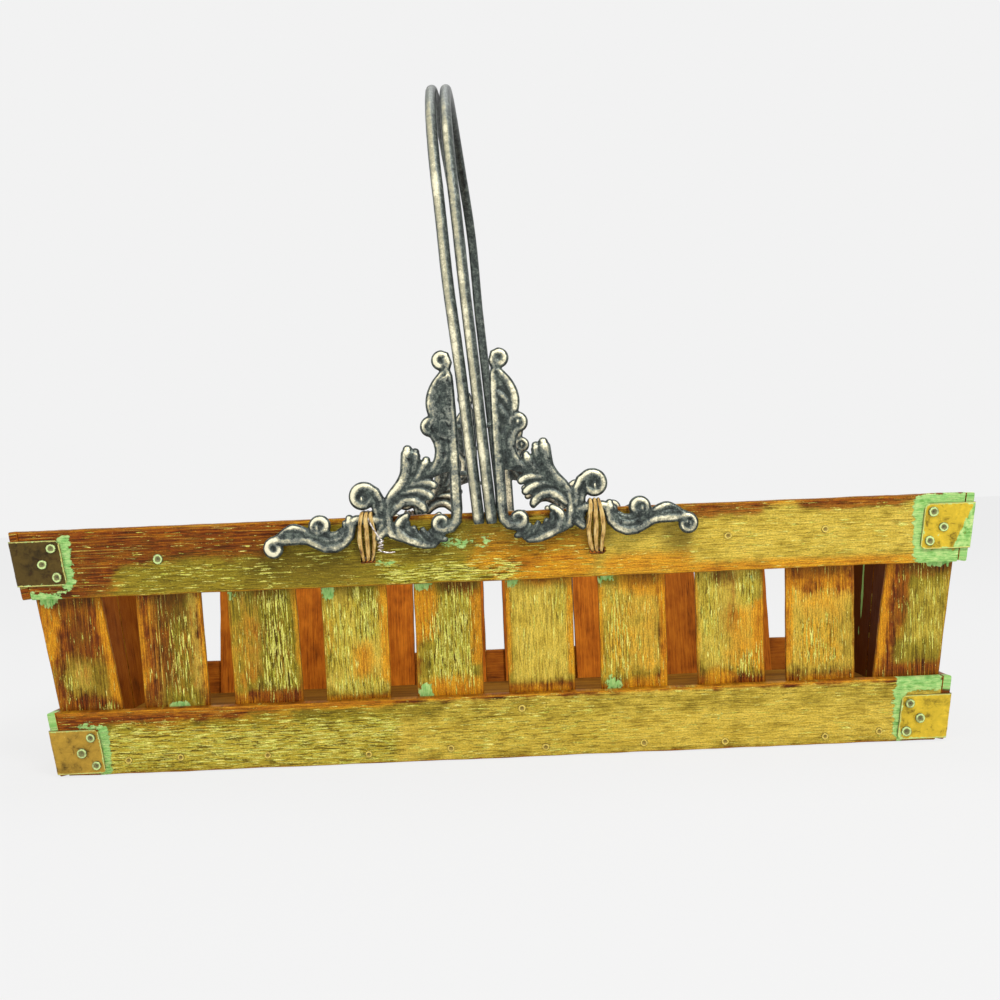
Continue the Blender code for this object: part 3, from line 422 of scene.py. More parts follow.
def worn_paint(name, dash_scale, rim_from, rim_to, rim_strength):
    """Stained wood under crackled olive paint, rubbed to lime, gold and orange, with painted shade
    in dark patches and painted highlights along the edges.

    The surface map runs along the grain in its first number and across it in its
    second, both in metres.
    """
    r = Recipe(name)
    grain = r.grained(r.surface, (34, 1000, 1), 5, 0.62, 0.35)
    fibre = r.grained(r.surface, (150, 2600, 1), 3, 0.6)
    blotch = r.grained(r.surface, (75, 110, 1), 4, 0.62, 0.0, (3, 7, 0))
    ragged = r.grained(r.surface, (240, 380, 1), 4, 0.65, 0.0, (9, 2, 0))
    speck = r.grained(r.surface, (900, 1500, 1), 2, 0.5)
    dashes = r.grained(r.surface, dash_scale, 4, 0.60, 0.5, (1, 5, 0))
    cracks = r.grained(r.surface, dash_scale, 3, 0.6, 0.6, (8, 1, 0))
    lines = r.grained(r.surface, (13, 1400, 1), 3, 0.55, 0.1, (2, 6, 0))
    spread = r.stray(r.sum(blotch, MIDDLE), grain, 0.5)

    tone = r.sum(r.sum(r.times(grain, 0.55), blotch, 0.30), fibre, 0.15)
    wood = r.ramp(tone, (0.40, "dark_wood"), (0.49, "red_wood"),
                  (0.60, "orange_wood"), (0.76, "edge_wood"))
    stain = r.ramp(tone, (0.38, "dark_wood"), (0.49, "red_wood"),
                   (0.65, "orange_wood"))
    olive = r.ramp(tone, (0.34, "dark_olive"), (0.49, "olive"),
                   (0.74, "gold"))
    gold = r.ramp(tone, (0.28, "brown_gold"), (0.42, "gold"),
                  (0.68, "pale_gold"))
    amber = r.ramp(tone, (0.34, "red_wood"), (0.43, "orange_wood"),
                   (0.58, "edge_wood"))

    base = r.blend(r.band(r.sum(r.painted("gold"), spread, 1.2), 0.1, 0.9), olive, gold)
    tint = r.times(r.band(r.sum(r.painted("lime"), spread, 1.0), 0.2, 1.1), 0.40)
    base = r.blend(tint, base, "moss")
    cover = r.band(r.sum(r.painted("olive"), spread, 1.6), 0.15, 0.75)
    base = r.blend(cover, wood, base)
    share = r.band(r.sum(r.painted("amber"), spread, 1.5), 0.15, 0.95, 0.0, 0.85)
    base = r.blend(share, base, amber)
    rust = r.band(r.sum(r.painted("rust"), spread, 1.8), 0.20, 0.95, 0.0, 0.9)
    base = r.blend(rust, base, stain)
    # Painted shade: the dark patches darken the paint to dark olive along the rails and under the
    # castings, and give random darker patches on boards out of the front view.
    painted_shade = r.band(r.sum(r.painted("dark"), spread, 1.2), 0.15, 1.0, 0.0, 0.62)
    base = r.blend(painted_shade, base, "dark_olive")

    slit = r.sum(cracks, r.painted("lime"), -0.03)
    slit = r.band(r.stray(slit, speck, 0.10), 0.425, 0.385)
    slit = r.times(slit, r.sum(r.sum(0.22, r.painted("lime"), 0.55), rust, 0.25))
    base = r.blend(slit, base, "dark_olive")
    streak = r.sum(dashes, r.painted("lime"), 0.105)
    streak = r.stray(r.stray(streak, speck, 0.16), blotch, 0.25)
    streak = r.band(streak, 0.635, 0.665)
    base = r.blend(r.times(streak, 0.95), base,
                   r.blend(r.band(fibre, 0.42, 0.62), "lime", "pale_lime"))
    thread = r.times(r.band(lines, 0.625, 0.665), r.sum(0.08, rust, 0.75))
    base = r.blend(thread, base, "pale_gold")

    # Rubbed edges, brightened further by a painted highlight along each board's edges.
    rim = r.stray(r.painted("edge"), blotch, rim_from * 1.6)
    rim = r.times(r.band(rim, rim_from, rim_to), rim_strength)
    base = r.blend(rim, base, amber)
    # Painted shade: a thin dark line along the very edge of each board.
    base = r.blend(r.band(r.painted("edge"), 0.0007, 0.0002, 0.0, 0.5), base,
                   "dark_wood")
    weave = r.sum(r.times(fibre, 0.55), speck, 0.45)
    base = r.dimmed(base, r.band(weave, 0.34, 0.66, 0.66, 1.34))
    daub = r.sum(r.stray(r.painted("mint"), ragged, 1.6), spread, 0.8)
    daub = r.band(daub, 0.50, 0.62)
    mint = r.ramp(r.sum(r.times(fibre, 0.5), ragged, 0.5), *mint_stops(0.38))
    base = r.blend(r.times(daub, 0.92), base, mint)

    height = r.sum(r.sum(r.times(grain, 0.5), r.times(slit, -0.6)), streak, 0.35)
    height = r.sum(height, daub, 0.5)
    normal = r.bump(height, 0.0004, 1.0, r.bump(fibre, 0.00015, 0.7))
    rough = r.band(r.sum(grain, streak, 0.3), 0.3, 0.9, 0.38, 0.62)
    return r.finish(base, rough, normal, shine=WOOD_SHINE)


def bare_wood(name, light, deep):
    """Stained inner faces, plain but for their grain, darker where little light falls."""
    r = Recipe(name)
    grain = r.grained(r.surface, (30, 700, 1), 5, 0.62, 0.4)
    fibre = r.grained(r.surface, (140, 2400, 1), 3, 0.6)
    blotch = r.grained(r.surface, (45, 60, 1), 4, 0.6, 0.0, (4, 1, 0))
    tone = r.sum(r.sum(r.times(grain, 0.40), blotch, 0.40), fibre, 0.2)
    base = r.ramp(tone, (0.34, "dark_wood"), (0.47, deep), (0.60, light))
    base = r.blend(r.painted("light"), "dark_wood", base)
    daub = r.band(r.stray(r.painted("mint"), blotch, 1.5), 0.50, 0.62)
    daub = r.times(daub, r.band(r.painted("light"), 0.2, 0.1))
    base = r.blend(daub, base, "mint")
    normal = r.bump(r.sum(r.times(grain, 0.7), fibre, 0.3), 0.0003, 0.7)
    return r.finish(base, r.band(tone, 0.3, 0.7, 0.62, 0.45), normal, shine=WOOD_SHINE)


def board_wood(name):
    """Base board, whose grain runs along the basket."""
    r = Recipe(name)
    grain = r.grained(r.solid, (9, 190, 190), 6, 0.62, 0.8)
    fibre = r.grained(r.solid, (60, 1500, 900), 3, 0.6)
    blotch = r.clouds(r.solid, 28.0, 4, 0.6)
    tone = r.sum(r.sum(r.times(grain, 0.55), blotch, 0.30), fibre, 0.2)
    base = r.ramp(tone, (0.36, "dark_wood"), (0.52, (0.22, 0.095, 0.007, 1)),
                  (0.68, (0.38, 0.190, 0.022, 1)))
    normal = r.bump(r.sum(r.times(grain, 0.7), fibre, 0.3), 0.0004, 0.8)
    return r.finish(base, 0.62, normal, shine=WOOD_SHINE)


def plate_sheet(name, shade, shine):
    """Dented golden sheet with paint along its borders and in its scratches."""
    r = Recipe(name)
    cloud = r.clouds(r.solid, 70.0, 4, 0.6)
    mottle = r.clouds(r.solid, 260.0, 4, 0.6, 0.6)
    scratch = r.grained(r.solid, (120, 900, 1600), 3, 0.6)
    tone = r.sum(r.times(cloud, 0.6), mottle, 0.4)
    base = r.ramp(tone, (0.36, toned(shade, 0.35)), (0.48, shade), (0.62, toned(shade, 1.3)))
    base = r.blend(r.band(scratch, 0.60, 0.70, 0.0, 0.45), base, toned(shade, 1.6))
    base = r.blend(r.band(mottle, 0.40, 0.34, 0.0, 0.3), base, "dark_wood")
    share = r.band(r.stray(r.stray(r.painted("mint"), mottle, 2.0), cloud, 1.2), 0.48, 0.60)
    base = r.blend(r.times(share, 0.9), base, r.ramp(
        r.sum(r.times(mottle, 0.6), scratch, 0.4), *mint_stops(0.40)))
    edge = r.stray(r.painted("edge"), mottle, 0.0022)
    base = r.blend(r.band(edge, 0.0009, 0.0003, 0.0, 0.8), base, "pale_lime")
    base = r.blend(r.band(r.painted("edge"), 0.00035, 0.0001, 0.0, 0.7), base,
                   "dark_wood")
    normal = r.bump(r.sum(r.times(cloud, 0.6), share, 0.3), 0.0004, 0.7,
                    r.bump(mottle, 0.00015, 0.6))
    metal = r.band(share, 0.0, 1.0, shine, 0.0)
    return r.finish(base, r.band(tone, 0.3, 0.7, 0.55, 0.36), normal, metal, PLATE_SHINE)


def toned(shade, factor):
    """Darker or brighter version of a shade."""
    return (*(min(1.0, channel * factor) for channel in colour(shade)[:3]), 1.0)


def nail_finish(name, middle, ring_shade):
    """Nail head: a ring of pale paint round a dull middle."""
    r = Recipe(name)
    speck = r.clouds(r.solid, 900.0, 3, 0.6)
    broad = r.clouds(r.solid, 160.0, 2, 0.5)
    ring = r.stray(r.painted("ring"), speck, 0.5)
    base = r.ramp(ring, (0.06, toned(middle, 0.3)), (0.26, toned(middle, 0.8)),
                  (0.55, middle), (0.66, ring_shade), (0.86, ring_shade),
                  (0.97, toned(middle, 0.5)))
    base = r.blend(r.band(broad, 0.50, 0.62, 0.0, 0.6), base, middle)
    normal = r.bump(speck, 0.00012, 0.7)
    return r.finish(base, 0.5, normal, 0.15)


def pitted_metal(name, gloss, mottle):
    """Dark grey-green metal, pitted, its crests rubbed and given painted highlight in tan and
    cream as mottle scatters.
    """
    r = Recipe(name)
    pits = r.clouds(r.solid, 1000.0, 3, 0.65)
    cloud = r.clouds(r.solid, 300.0, 4, 0.6, 0.3)
    broad = r.clouds(r.solid, 60.0, 3, 0.5)
    base = r.ramp(r.sum(r.times(cloud, 0.6), pits, 0.4), (0.36, "black_metal"),
                  (0.50, "casting"), (0.64, "green_metal"))
    worn = r.stray(r.painted("crest"), cloud, 1.5 * mottle)
    worn = r.stray(r.stray(worn, broad, 1.7 * mottle), pits, 1.1 * mottle)
    base = r.blend(r.band(worn, 0.10, 0.60, 0.0, 0.85), base, "pewter")
    base = r.blend(r.band(worn, 0.52, 0.80, 0.0, 0.80), base, "tan_metal")
    base = r.blend(r.band(worn, 0.80, 1.05, 0.0, 0.95), base, "rubbed")
    base = r.blend(r.band(r.painted("crest"), -0.1, -0.9, 0.0, 0.55), base,
                   "black_metal")
    normal = r.bump(cloud, 0.0003, 0.7, r.bump(pits, 0.00022, 1.0))
    return r.finish(base, r.band(worn, 0.0, 0.9, 0.34, 0.5), normal, gloss)


def split_cane(name):
    """Yellow-tan cane with dark grooves along its run, and painted shade where it turns away from
    the outside.
    """
    r = Recipe(name)
    groove = r.grained(r.solid, (1400, 500, 80), 4, 0.6, 0.3)
    patch = r.clouds(r.solid, 170.0, 3, 0.6)
    tone = r.sum(r.times(groove, 0.6), patch, 0.4)
    base = r.ramp(tone, (0.38, "cane_dark"), (0.47, "cane_pale"),
                  (0.60, "cane_cream"))
    # Painted shade: near black where the cane turns away from the wall's outside.
    base = r.blend(r.band(r.painted("depth"), 0.55, 0.0, 0.0, 0.93), base,
                   (0.022, 0.008, 0.002, 1))
    return r.finish(base, 0.45, r.bump(groove, 0.0003, 0.9))


def silver_wire(name):
    """Silvery wire with dull patches."""
    r = Recipe(name)
    patch = r.clouds(r.solid, 420.0, 3, 0.6)
    base = r.ramp(patch, (0.38, (0.10, 0.07, 0.055, 1)), (0.52, "wire"))
    return r.finish(base, 0.32, r.bump(patch, 0.0001, 0.6), 0.8)


MATERIALS = {}


def material(name):
    """A finish by name, made once."""
    if name not in MATERIALS:
        makers = {
            "slat_paint": lambda: worn_paint(name, (85, 1150, 1), 0.0022, 0.0007, 0.35),
            "rail_paint": lambda: worn_paint(name, (95, 1050, 1), 0.0014, 0.0004, 0.5),
            "inner_wood": lambda: bare_wood(
                name, (0.84, 0.270, 0.018, 1), (0.52, 0.135, 0.008, 1)),
            "board_wood": lambda: board_wood(name),
            "bronze_plate": lambda: plate_sheet(name, "bronze", 0.35),
            "brown_plate": lambda: plate_sheet(name, "brown_brass", 0.35),
            "brass_plate": lambda: plate_sheet(name, "brass", 0.35),
            "nail_head": lambda: nail_finish(
                name, (0.20, 0.190, 0.060, 1), "pale_mint"),
            "painted_nail": lambda: nail_finish(
                name, (0.34, 0.235, 0.030, 1), "pale_gold"),
            "casting": lambda: pitted_metal(name, 0.55, 1.0),
            "rod_metal": lambda: pitted_metal(name, 0.45, 0.55),
            "cane": lambda: split_cane(name),
            "wire": lambda: silver_wire(name),
        }
        MATERIALS[name] = makers[name]()
    return MATERIALS[name]


# Painted patches. Each is (from, to, low, high, softness, strength), all in millimetres but
# the last: along the wall on rails, from its left edge on a slat, and in height.

# The dark channel is mostly painted shade: shadows where the slats meet the rails and under the
# castings.
CHANNELS = ("olive", "gold", "amber", "lime", "rust", "dark", "mint")
FRONT_PATCHES = {
    "front_top_rail": {
        "olive": [(-236, -205, 104, 113, 7, 1.0), (-222, -150, 104, 124, 7, 1.0),
                  (-200, 290, 104, 130, 6, 1.0), (-130, 290, 104, 137, 6, 1.0),
                  (-112, 290, 104, 143, 6, 1.0)],
        "gold": [(45, 290, 104, 146, 35, 1.0), (-10, 60, 112, 146, 20, 0.4)],
        "amber": [(-4, 56, 106, 123, 7, 1.2), (-14, 62, 106, 136, 10, 0.85),
                  (62, 116, 105, 120, 8, 1.0), (104, 245, 103, 112, 5, 1.1),
                  (-262, 240, 144, 147, 1.5, 0.9)],
        "lime": [(-66, 16, 105, 118, 6, 1.5), (-215, -120, 106, 128, 12, 0.6),
                 (-120, 60, 116, 138, 10, 0.45), (60, 290, 112, 140, 20, 0.25)],
        "rust": [(-272, -120, 126, 146, 6, 1.1), (-272, -222, 106, 132, 9, 1.0),
                 (6, 30, 112, 121, 6, 0.7), (112, 158, 138, 147, 5, 1.1),
                 (178, 240, 140, 147, 4, 1.2)],
        "dark": [(-272, -120, 122, 143, 8, 0.45), (-150, -78, 108, 132, 12, 0.8),
                 (-110, 70, 120, 140, 8, 0.6), (-215, -150, 106, 128, 8, 0.3),
                 (96, 118, 116, 136, 8, 0.8), (-262, -225, 106, 130, 8, 0.5)],
        "mint": [(-252, -244, 110, 143, 4, 1.0), (-280, -249, 104, 110, 4, 1.1),
                 (244, 252, 106, 146, 4, 1.1), (246, 290, 104, 114, 4, 1.2),
                 (246, 290, 138, 146, 4, 1.1), (-34, 2, 125, 133, 5, 0.62),
                 (-70, -56, 117, 122, 4, 0.7)],
    },
    "front_bottom_rail": {
        "olive": [(-236, 290, 0, 31, 4, 1.0), (-150, 290, 0, 36, 4, 1.0)],
        "gold": [(-240, 290, 0, 27, 8, 0.8), (-60, 290, 0, 39, 60, 1.1)],
        "amber": [(-262, -60, 34, 40, 3, 0.9), (-60, 290, 37, 40, 1.5, 0.9),
                  (-220, -120, 22, 34, 8, 0.5)],
        "lime": [(-236, -60, 1, 30, 6, 1.1), (-60, 80, 1, 33, 30, 0.75),
                 (80, 290, 1, 35, 50, 0.4)],
        "rust": [(-264, -190, 30, 38, 4, 0.9), (-190, -130, 33, 38, 3, 0.8),
                 (-130, -60, 35, 40, 2, 0.6)],
        "dark": [(-225, -120, 24, 31, 6, 0.45)],
        "mint": [(-239, -231, 0, 30, 4, 1.0), (232, 240, 0, 34, 4, 1.0),
                 (234, 262, 30, 40, 4, 1.0), (-252, -238, 27, 33, 4, 0.7),
                 (126, 131, 12, 36, 5, 0.5)],
    },
    "front_slat_01": {
        "olive": [(4, 36, 44, 72, 10, 0.7), (14, 30, 72, 96, 8, 0.35)],
        "gold": [(8, 24, 48, 68, 8, 0.6)],
        "amber": [(-4, 10, 70, 106, 7, 1.0), (34, 42, 40, 112, 4, 1.3), (0, 30, 92, 104, 6, 0.5)],
        "lime": [(4, 14, 50, 62, 4, 0.9), (4, 12, 42, 50, 4, 0.8), (24, 34, 38, 43, 3, 1.1)],
        "rust": [(0, 40, 35, 45, 5, 0.9), (6, 34, 46, 76, 8, 0.4), (14, 30, 70, 110, 8, 0.9),
                 (20, 30, 98, 112, 6, 0.6)],
        "dark": [(0, 40, 98, 112, 7, 0.7), (12, 30, 66, 100, 8, 0.6), (0, 40, 34, 44, 5, 0.5)],
        "mint": [(2, 12, 101, 111, 4, 1.1)],
    },
    "front_slat_02": {
        "olive": [(10, 36, 36, 112, 8, 0.8)],
        "gold": [(-4, 9, 66, 110, 5, 1.0), (-4, 12, 36, 70, 6, 0.6), (30, 44, 48, 110, 4, 1.0)],
        "amber": [(-4, 4, 50, 108, 5, 0.9), (36, 44, 46, 108, 4, 0.9), (4, 12, 80, 104, 6, 0.7)],
        "lime": [(16, 31, 40, 92, 5, 0.9)],
        "rust": [(10, 22, 56, 112, 6, 1.0), (12, 32, 94, 112, 8, 0.8), (4, 36, 44, 100, 8, 0.6)],
        "dark": [(11, 32, 84, 112, 7, 0.8), (12, 22, 40, 84, 6, 0.5), (-2, 14, 34, 50, 6, 0.5)],
        "mint": [(15, 27, 34, 42, 4, 1.1)],
    },
    "front_slat_03": {
        "olive": [(-6, 44, 46, 114, 7, 1.0)],
        "gold": [(2, 22, 56, 104, 8, 0.4)],
        "amber": [(-4, 2, 40, 110, 3, 0.6), (2, 18, 50, 100, 8, 0.55), (0, 22, 34, 44, 6, 0.7),
                  (38, 42, 60, 110, 3, 0.7)],
        "lime": [(18, 37, 46, 106, 4, 1.3), (3, 9, 66, 106, 4, 0.5), (6, 18, 52, 70, 8, 0.4)],
        "rust": [(12, 42, 34, 48, 6, 0.8), (4, 38, 46, 104, 8, 0.45), (14, 34, 98, 112, 6, 0.6)],
        "dark": [(0, 40, 103, 112, 5, 0.7), (16, 38, 60, 106, 8, 0.6), (0, 40, 33, 40, 4, 0.4)],
        "mint": [(0, 4, 100, 110, 3, 0.8)],
    },
    "front_slat_04": {
        "olive": [(-6, 44, 40, 114, 7, 1.0)],
        "gold": [(2, 38, 40, 100, 8, 0.8)],
        "amber": [(18, 29, 50, 72, 7, 1.1), (34, 42, 48, 108, 4, 1.2), (0, 40, 34, 42, 4, 0.8),
                  (0, 8, 60, 90, 6, 0.6)],
        "lime": [(0, 20, 54, 96, 7, 0.9), (18, 33, 74, 106, 5, 1.3), (6, 36, 40, 54, 6, 0.9)],
        "rust": [(6, 36, 33, 41, 4, 0.7)],
        "dark": [(0, 40, 104, 112, 4, 0.6), (18, 34, 78, 104, 6, 0.5)],
        "mint": [(0, 8, 98, 110, 4, 1.0)],
    },
    "front_slat_05": {
        "olive": [(2, 44, 44, 110, 7, 0.9)],
        "gold": [(8, 36, 44, 98, 8, 0.6)],
        "amber": [(-4, 13, 72, 108, 7, 1.3), (8, 40, 34, 50, 6, 1.1), (32, 42, 56, 102, 4, 1.0)],
        "lime": [(7, 30, 48, 88, 5, 1.3), (14, 34, 60, 102, 5, 1.2), (24, 36, 44, 70, 4, 1.0)],
        "rust": [(14, 40, 98, 112, 6, 0.8), (30, 40, 80, 100, 6, 0.5)],
        "dark": [(10, 40, 100, 112, 6, 0.7), (10, 34, 56, 98, 9, 0.5)],
        "mint": [(0, 11, 102, 110, 4, 1.1), (1, 9, 34, 46, 4, 1.0)],
    },
    "front_slat_06": {
        "olive": [(-4, 44, 44, 114, 6, 1.0)],
        "gold": [(2, 38, 44, 106, 6, 0.8)],
        "amber": [(-4, 3, 50, 106, 3, 1.2), (36, 44, 48, 106, 3, 1.0), (8, 40, 101, 110, 5, 0.8),
                  (0, 40, 35, 44, 5, 0.7)],
        "lime": [(27, 36, 78, 104, 4, 0.8), (4, 36, 48, 102, 8, 0.35)],
        "rust": [(10, 36, 103, 112, 4, 0.7)],
        "dark": [(8, 40, 103, 112, 4, 0.6), (0, 40, 33, 40, 4, 0.35)],
        "mint": [(0, 9, 102, 110, 4, 1.0)],
    },
    "front_slat_07": {
        "olive": [(-6, 36, 42, 112, 8, 0.9)],
        "gold": [(2, 36, 48, 100, 8, 0.8)],
        "amber": [(2, 36, 44, 96, 8, 0.55), (12, 44, 90, 112, 10, 0.9), (22, 36, 46, 90, 10, 0.6),
                  (-4, 3, 50, 100, 3, 0.9), (36, 44, 40, 110, 3, 1.2), (14, 40, 34, 46, 6, 0.9)],
        "lime": [(2, 20, 44, 98, 6, 0.8), (18, 30, 50, 90, 6, 0.5)],
        "rust": [(16, 38, 98, 112, 6, 0.6)],
        "dark": [(14, 40, 100, 112, 6, 0.6), (30, 40, 66, 84, 5, 0.5)],
        "mint": [(0, 10, 102, 110, 4, 1.0), (3, 12, 36, 46, 4, 0.9)],
    },
    "front_slat_08": {
        "olive": [(-4, 44, 44, 114, 8, 0.9)],
        "gold": [(0, 38, 48, 110, 7, 0.8)],
        "amber": [(16, 36, 46, 86, 9, 0.75), (33, 44, 46, 88, 5, 1.4), (4, 24, 34, 48, 6, 0.9),
                  (-4, 2, 50, 100, 3, 0.7)],
        "lime": [(2, 13, 66, 106, 5, 0.9), (26, 37, 84, 106, 5, 1.2), (22, 36, 42, 58, 5, 1.1),
                 (8, 18, 50, 70, 5, 0.6)],
        "rust": [(18, 25, 66, 108, 6, 0.7), (10, 24, 96, 110, 6, 0.7)],
        "dark": [(8, 26, 96, 112, 6, 0.7), (12, 20, 60, 96, 4, 0.5), (0, 12, 34, 60, 6, 0.4)],
        "mint": [(27, 36, 88, 104, 5, 0.5)],
    },
    "front_slat_09": {
        "olive": [(-2, 42, 42, 90, 10, 0.9)],
        "gold": [(2, 38, 44, 100, 8, 0.9)],
        "amber": [(4, 40, 90, 112, 10, 0.75), (4, 38, 44, 96, 8, 0.6), (-4, 4, 48, 108, 4, 1.3),
                  (10, 40, 34, 42, 5, 0.8)],
        "lime": [(6, 34, 44, 78, 7, 0.8)],
        "rust": [(8, 36, 98, 112, 6, 0.6), (26, 40, 36, 46, 5, 0.6)],
        "dark": [(0, 40, 102, 112, 5, 0.6), (20, 40, 60, 86, 8, 0.35)],
        "mint": [],
    },
    "front_slat_10": {
        "olive": [(9, 44, 46, 104, 8, 0.9)],
        "gold": [(14, 38, 56, 96, 8, 0.5)],
        "amber": [(-4, 5, 38, 110, 4, 1.2), (9, 15, 60, 106, 4, 0.8)],
        "lime": [(14, 36, 52, 100, 6, 0.6)],
        "rust": [(8, 15, 68, 110, 4, 1.1), (0, 40, 34, 46, 5, 1.0), (14, 40, 96, 112, 7, 0.8)],
        "dark": [(8, 40, 98, 112, 7, 0.7), (10, 20, 46, 90, 6, 0.6), (0, 40, 34, 42, 4, 0.5)],
        "mint": [(24, 40, 103, 113, 4, 1.1)],
    },
}

# Patches at the front ends of the end walls' rails, and the streak seen on a right slat
END_PATCHES = {
    "left_top_rail": ("rust", (-106, -88, 100, 150, 4, 1.3)),
    "left_bottom_rail": ("mint", (-94, -78, 27, 40, 4, 1.0)),
    "right_top_rail": ("mint", (-106, -84, 100, 150, 4, 1.4)),
    "right_bottom_rail": ("mint", (-94, -80, 28, 40, 4, 0.8)),
    "right_slat_03": ("mint", (19, 22, 45, 108, 1, 1.1)),
}

# Light on the inner faces: boards not named here have OTHER_LIGHT
OTHER_LIGHT = 0.8
INNER_LIGHT = {
    "left_slat_01": 0.4, "left_slat_02": 0.4, "left_slat_03": 0.4, "right_slat_01": 0.08,
    "right_slat_02": 0.08, "right_slat_03": 0.08, "back_slat_01": 0.42, "back_slat_10": 0.3,
    "back_slat_03": 1.0, "back_slat_04": 1.0, "back_slat_05": 1.0, "back_slat_07": 0.95,
    "back_slat_08": 0.75, "back_bottom_rail": 0.6,
}


def random_patches(seed, length, low, high):
    """Patches for a board that the front view doesn't show."""
    rng = random.Random(seed)
    width = high - low

    def scatter(count, reach, strength):
        patches = []
        for _ in range(count):
            start = rng.uniform(0, length * 0.8)
            floor = low + rng.uniform(0, width * 0.8)
            patches.append((start, start + reach * rng.uniform(0.5, 1.4), floor,
                            floor + min(reach, width) * rng.uniform(0.4, 1.2), 5,
                            strength * rng.uniform(0.7, 1.1)))
        return patches

    return {
        "olive": [(length * 0.05, length * 0.96, low + 5, high - 3, 5, 1.0)],
        "gold": scatter(2, length * 0.5, 0.8),
        "amber": scatter(3, length * 0.3, 0.9),
        "dark": scatter(1, length * 0.3, 0.6),
        "lime": scatter(3, length * 0.35, 0.9),
        "rust": scatter(2, length * 0.25, 0.9),
        "mint": scatter(1, min(length * 0.15, 9), 0.9) if rng.random() < 0.5 else [],
    }


def add_end_patch(name, patches):
    """Add a board's own patch, if it has one."""
    if name in END_PATCHES:
        channel, patch = END_PATCHES[name]
        patches[channel] = [*patches[channel], patch]


def patch_strength(patches, along, z):
    """Greatest strength of the patches at a place, in millimetres."""
    most = 0.0
    for start, end, low, high, soft, strength in patches:
        if start - soft < along < end + soft and low - soft < z < high + soft:
            share = (ease(along, start - soft, start + soft)
                     * ease(-along, -end - soft, -end + soft)
                     * ease(z, low - soft, low + soft)
                     * ease(-z, -high - soft, -high + soft))
            most = max(most, share * strength)
    return most


# Boards

EDGE_WOBBLE = 0.35 * MM
SLAT_ROUNDING, SLAT_SHOULDER = 0.45 * MM, 3.2 * MM
RAIL_ROUNDING, RAIL_SHOULDER = 0.15 * MM, 2 * MM
FACE_RELIEF = 0.10 * MM
SLAT_BEVEL, RAIL_BEVEL = 0.5 * MM, 0.8 * MM
FRONT_SLAT_CELLS, OTHER_SLAT_CELLS = (24, 62), (16, 40)
LONG_RAIL_CELLS, END_RAIL_CELLS = (190, 16), (70, 16)
SLAT_PATCH_AREA = (40, 37, 108)  # Width, lowest and highest place, in millimetres


def add_board(name, wall, spans, heights, depths, upright, cells, patches, bevel):
    """One worn board: a grid laid on its wall, thickened inwards and with rounded edges.

    spans are its ends along the wall, low and high. upright boards have their grain in
    height. patches are read in millimetres.
    """
    board = add_grid(name + "_board", *cells)
    mesh = board.data
    seed = sum(ord(letter) * (index + 1) for index, letter in enumerate(name)) % 997
    shift = Vector((seed * 0.37, seed * 0.91, seed * 0.13))
    low_span, high_span = spans
    count = len(mesh.vertices)
    values = {channel: [0.0] * count for channel in (*CHANNELS, "edge", "light")}
    grain_places = [None] * count
    for vertex in mesh.vertices:
        a, h = vertex.co.x + 0.5, vertex.co.y + 0.5
        z = heights[0] + (heights[1] - heights[0]) * h
        left = low_span[0] + (high_span[0] - low_span[0]) * h
        right = low_span[1] + (high_span[1] - low_span[1]) * h
        width = right - left
        rise = heights[1] - heights[0]
        along = left + width * a
        if upright:
            side, reach, run = 2 * a - 1, min(a, 1 - a) * width, z
        else:
            side, reach, run = 2 * h - 1, min(h, 1 - h) * rise, along
        wobble = noise.noise(Vector((run * 60, math.copysign(3, side), 0)) + shift)
        wobble *= EDGE_WOBBLE * abs(side) ** 6
        if upright:
            dip = SLAT_ROUNDING * (1 - ease(reach, 0, SLAT_SHOULDER))
        else:
            dip = RAIL_ROUNDING * (1 - ease(reach, 0, RAIL_SHOULDER))
        dip += FACE_RELIEF * noise.noise(Vector((along * 90, z * 90, 0)) + shift)
        index = vertex.index
        patch_along = (along - left) / MM if upright else along / MM
        for channel in CHANNELS:
            values[channel][index] = patch_strength(patches[channel], patch_along, z / MM)
        values["edge"][index] = reach
        values["light"][index] = INNER_LIGHT.get(name, OTHER_LIGHT)
        grain_places[index] = (z, along) if upright else (along, z)
        if upright:
            along += wobble
        else:
            z += wobble
        vertex.co = wall_point(wall, along, depths[0] + max(0.0, dip), z)
    for channel, numbers in values.items():
        paint(mesh, channel, numbers)
    surface = mesh.uv_layers[0]
    for loop in mesh.loops:
        run, cross = grain_places[loop.vertex_index]
        surface.data[loop.index].uv = (run + seed * 0.071, cross + seed * 0.053)
    if mesh.polygons[0].normal.dot(wall_normal(wall)) < 0:
        mesh.flip_normals()
    add_shell(board, depths[1] - depths[0], -1.0).material_offset = 1
    add_bevel(board, bevel, 55)
    return board


def finish_board(board, node, paint_name):
    """Give a board its finishes, apply its modifiers and place it."""
    board.data.materials.append(material(paint_name))
    board.data.materials.append(material("inner_wood"))
    finish_shape(board, 40)
    place_piece(board, [node])


SLOT_DROP = 24.5 * MM
SLOT_MIDDLE = 4 * MM
SLOT_BOX = (8.4 * MM, 30 * MM, 3.3 * MM, 1.0)
SLOT_REACH = 6 * MM


def slot_cutter(wall, along):
    """Box that cuts a tie's slot through a wall."""
    deselect()
    bpy.ops.mesh.primitive_cube_add(size=1.0)
    cutter = bpy.context.object
    cutter.data.materials.append(material("slat_paint"))
    cutter.data.materials.append(material("inner_wood"))
    # The slot's walls take the inner wood finish; with no light painted on them they show as dark
    # wood, a painted shade in the slot.
    for polygon in cutter.data.polygons:
        polygon.material_index = 1
    place = wall_point(wall, along, SLOT_MIDDLE, sizes().height - SLOT_DROP)
    cutter.matrix_world = Matrix.Translation(place) @ Matrix.Diagonal(SLOT_BOX)
    return cutter


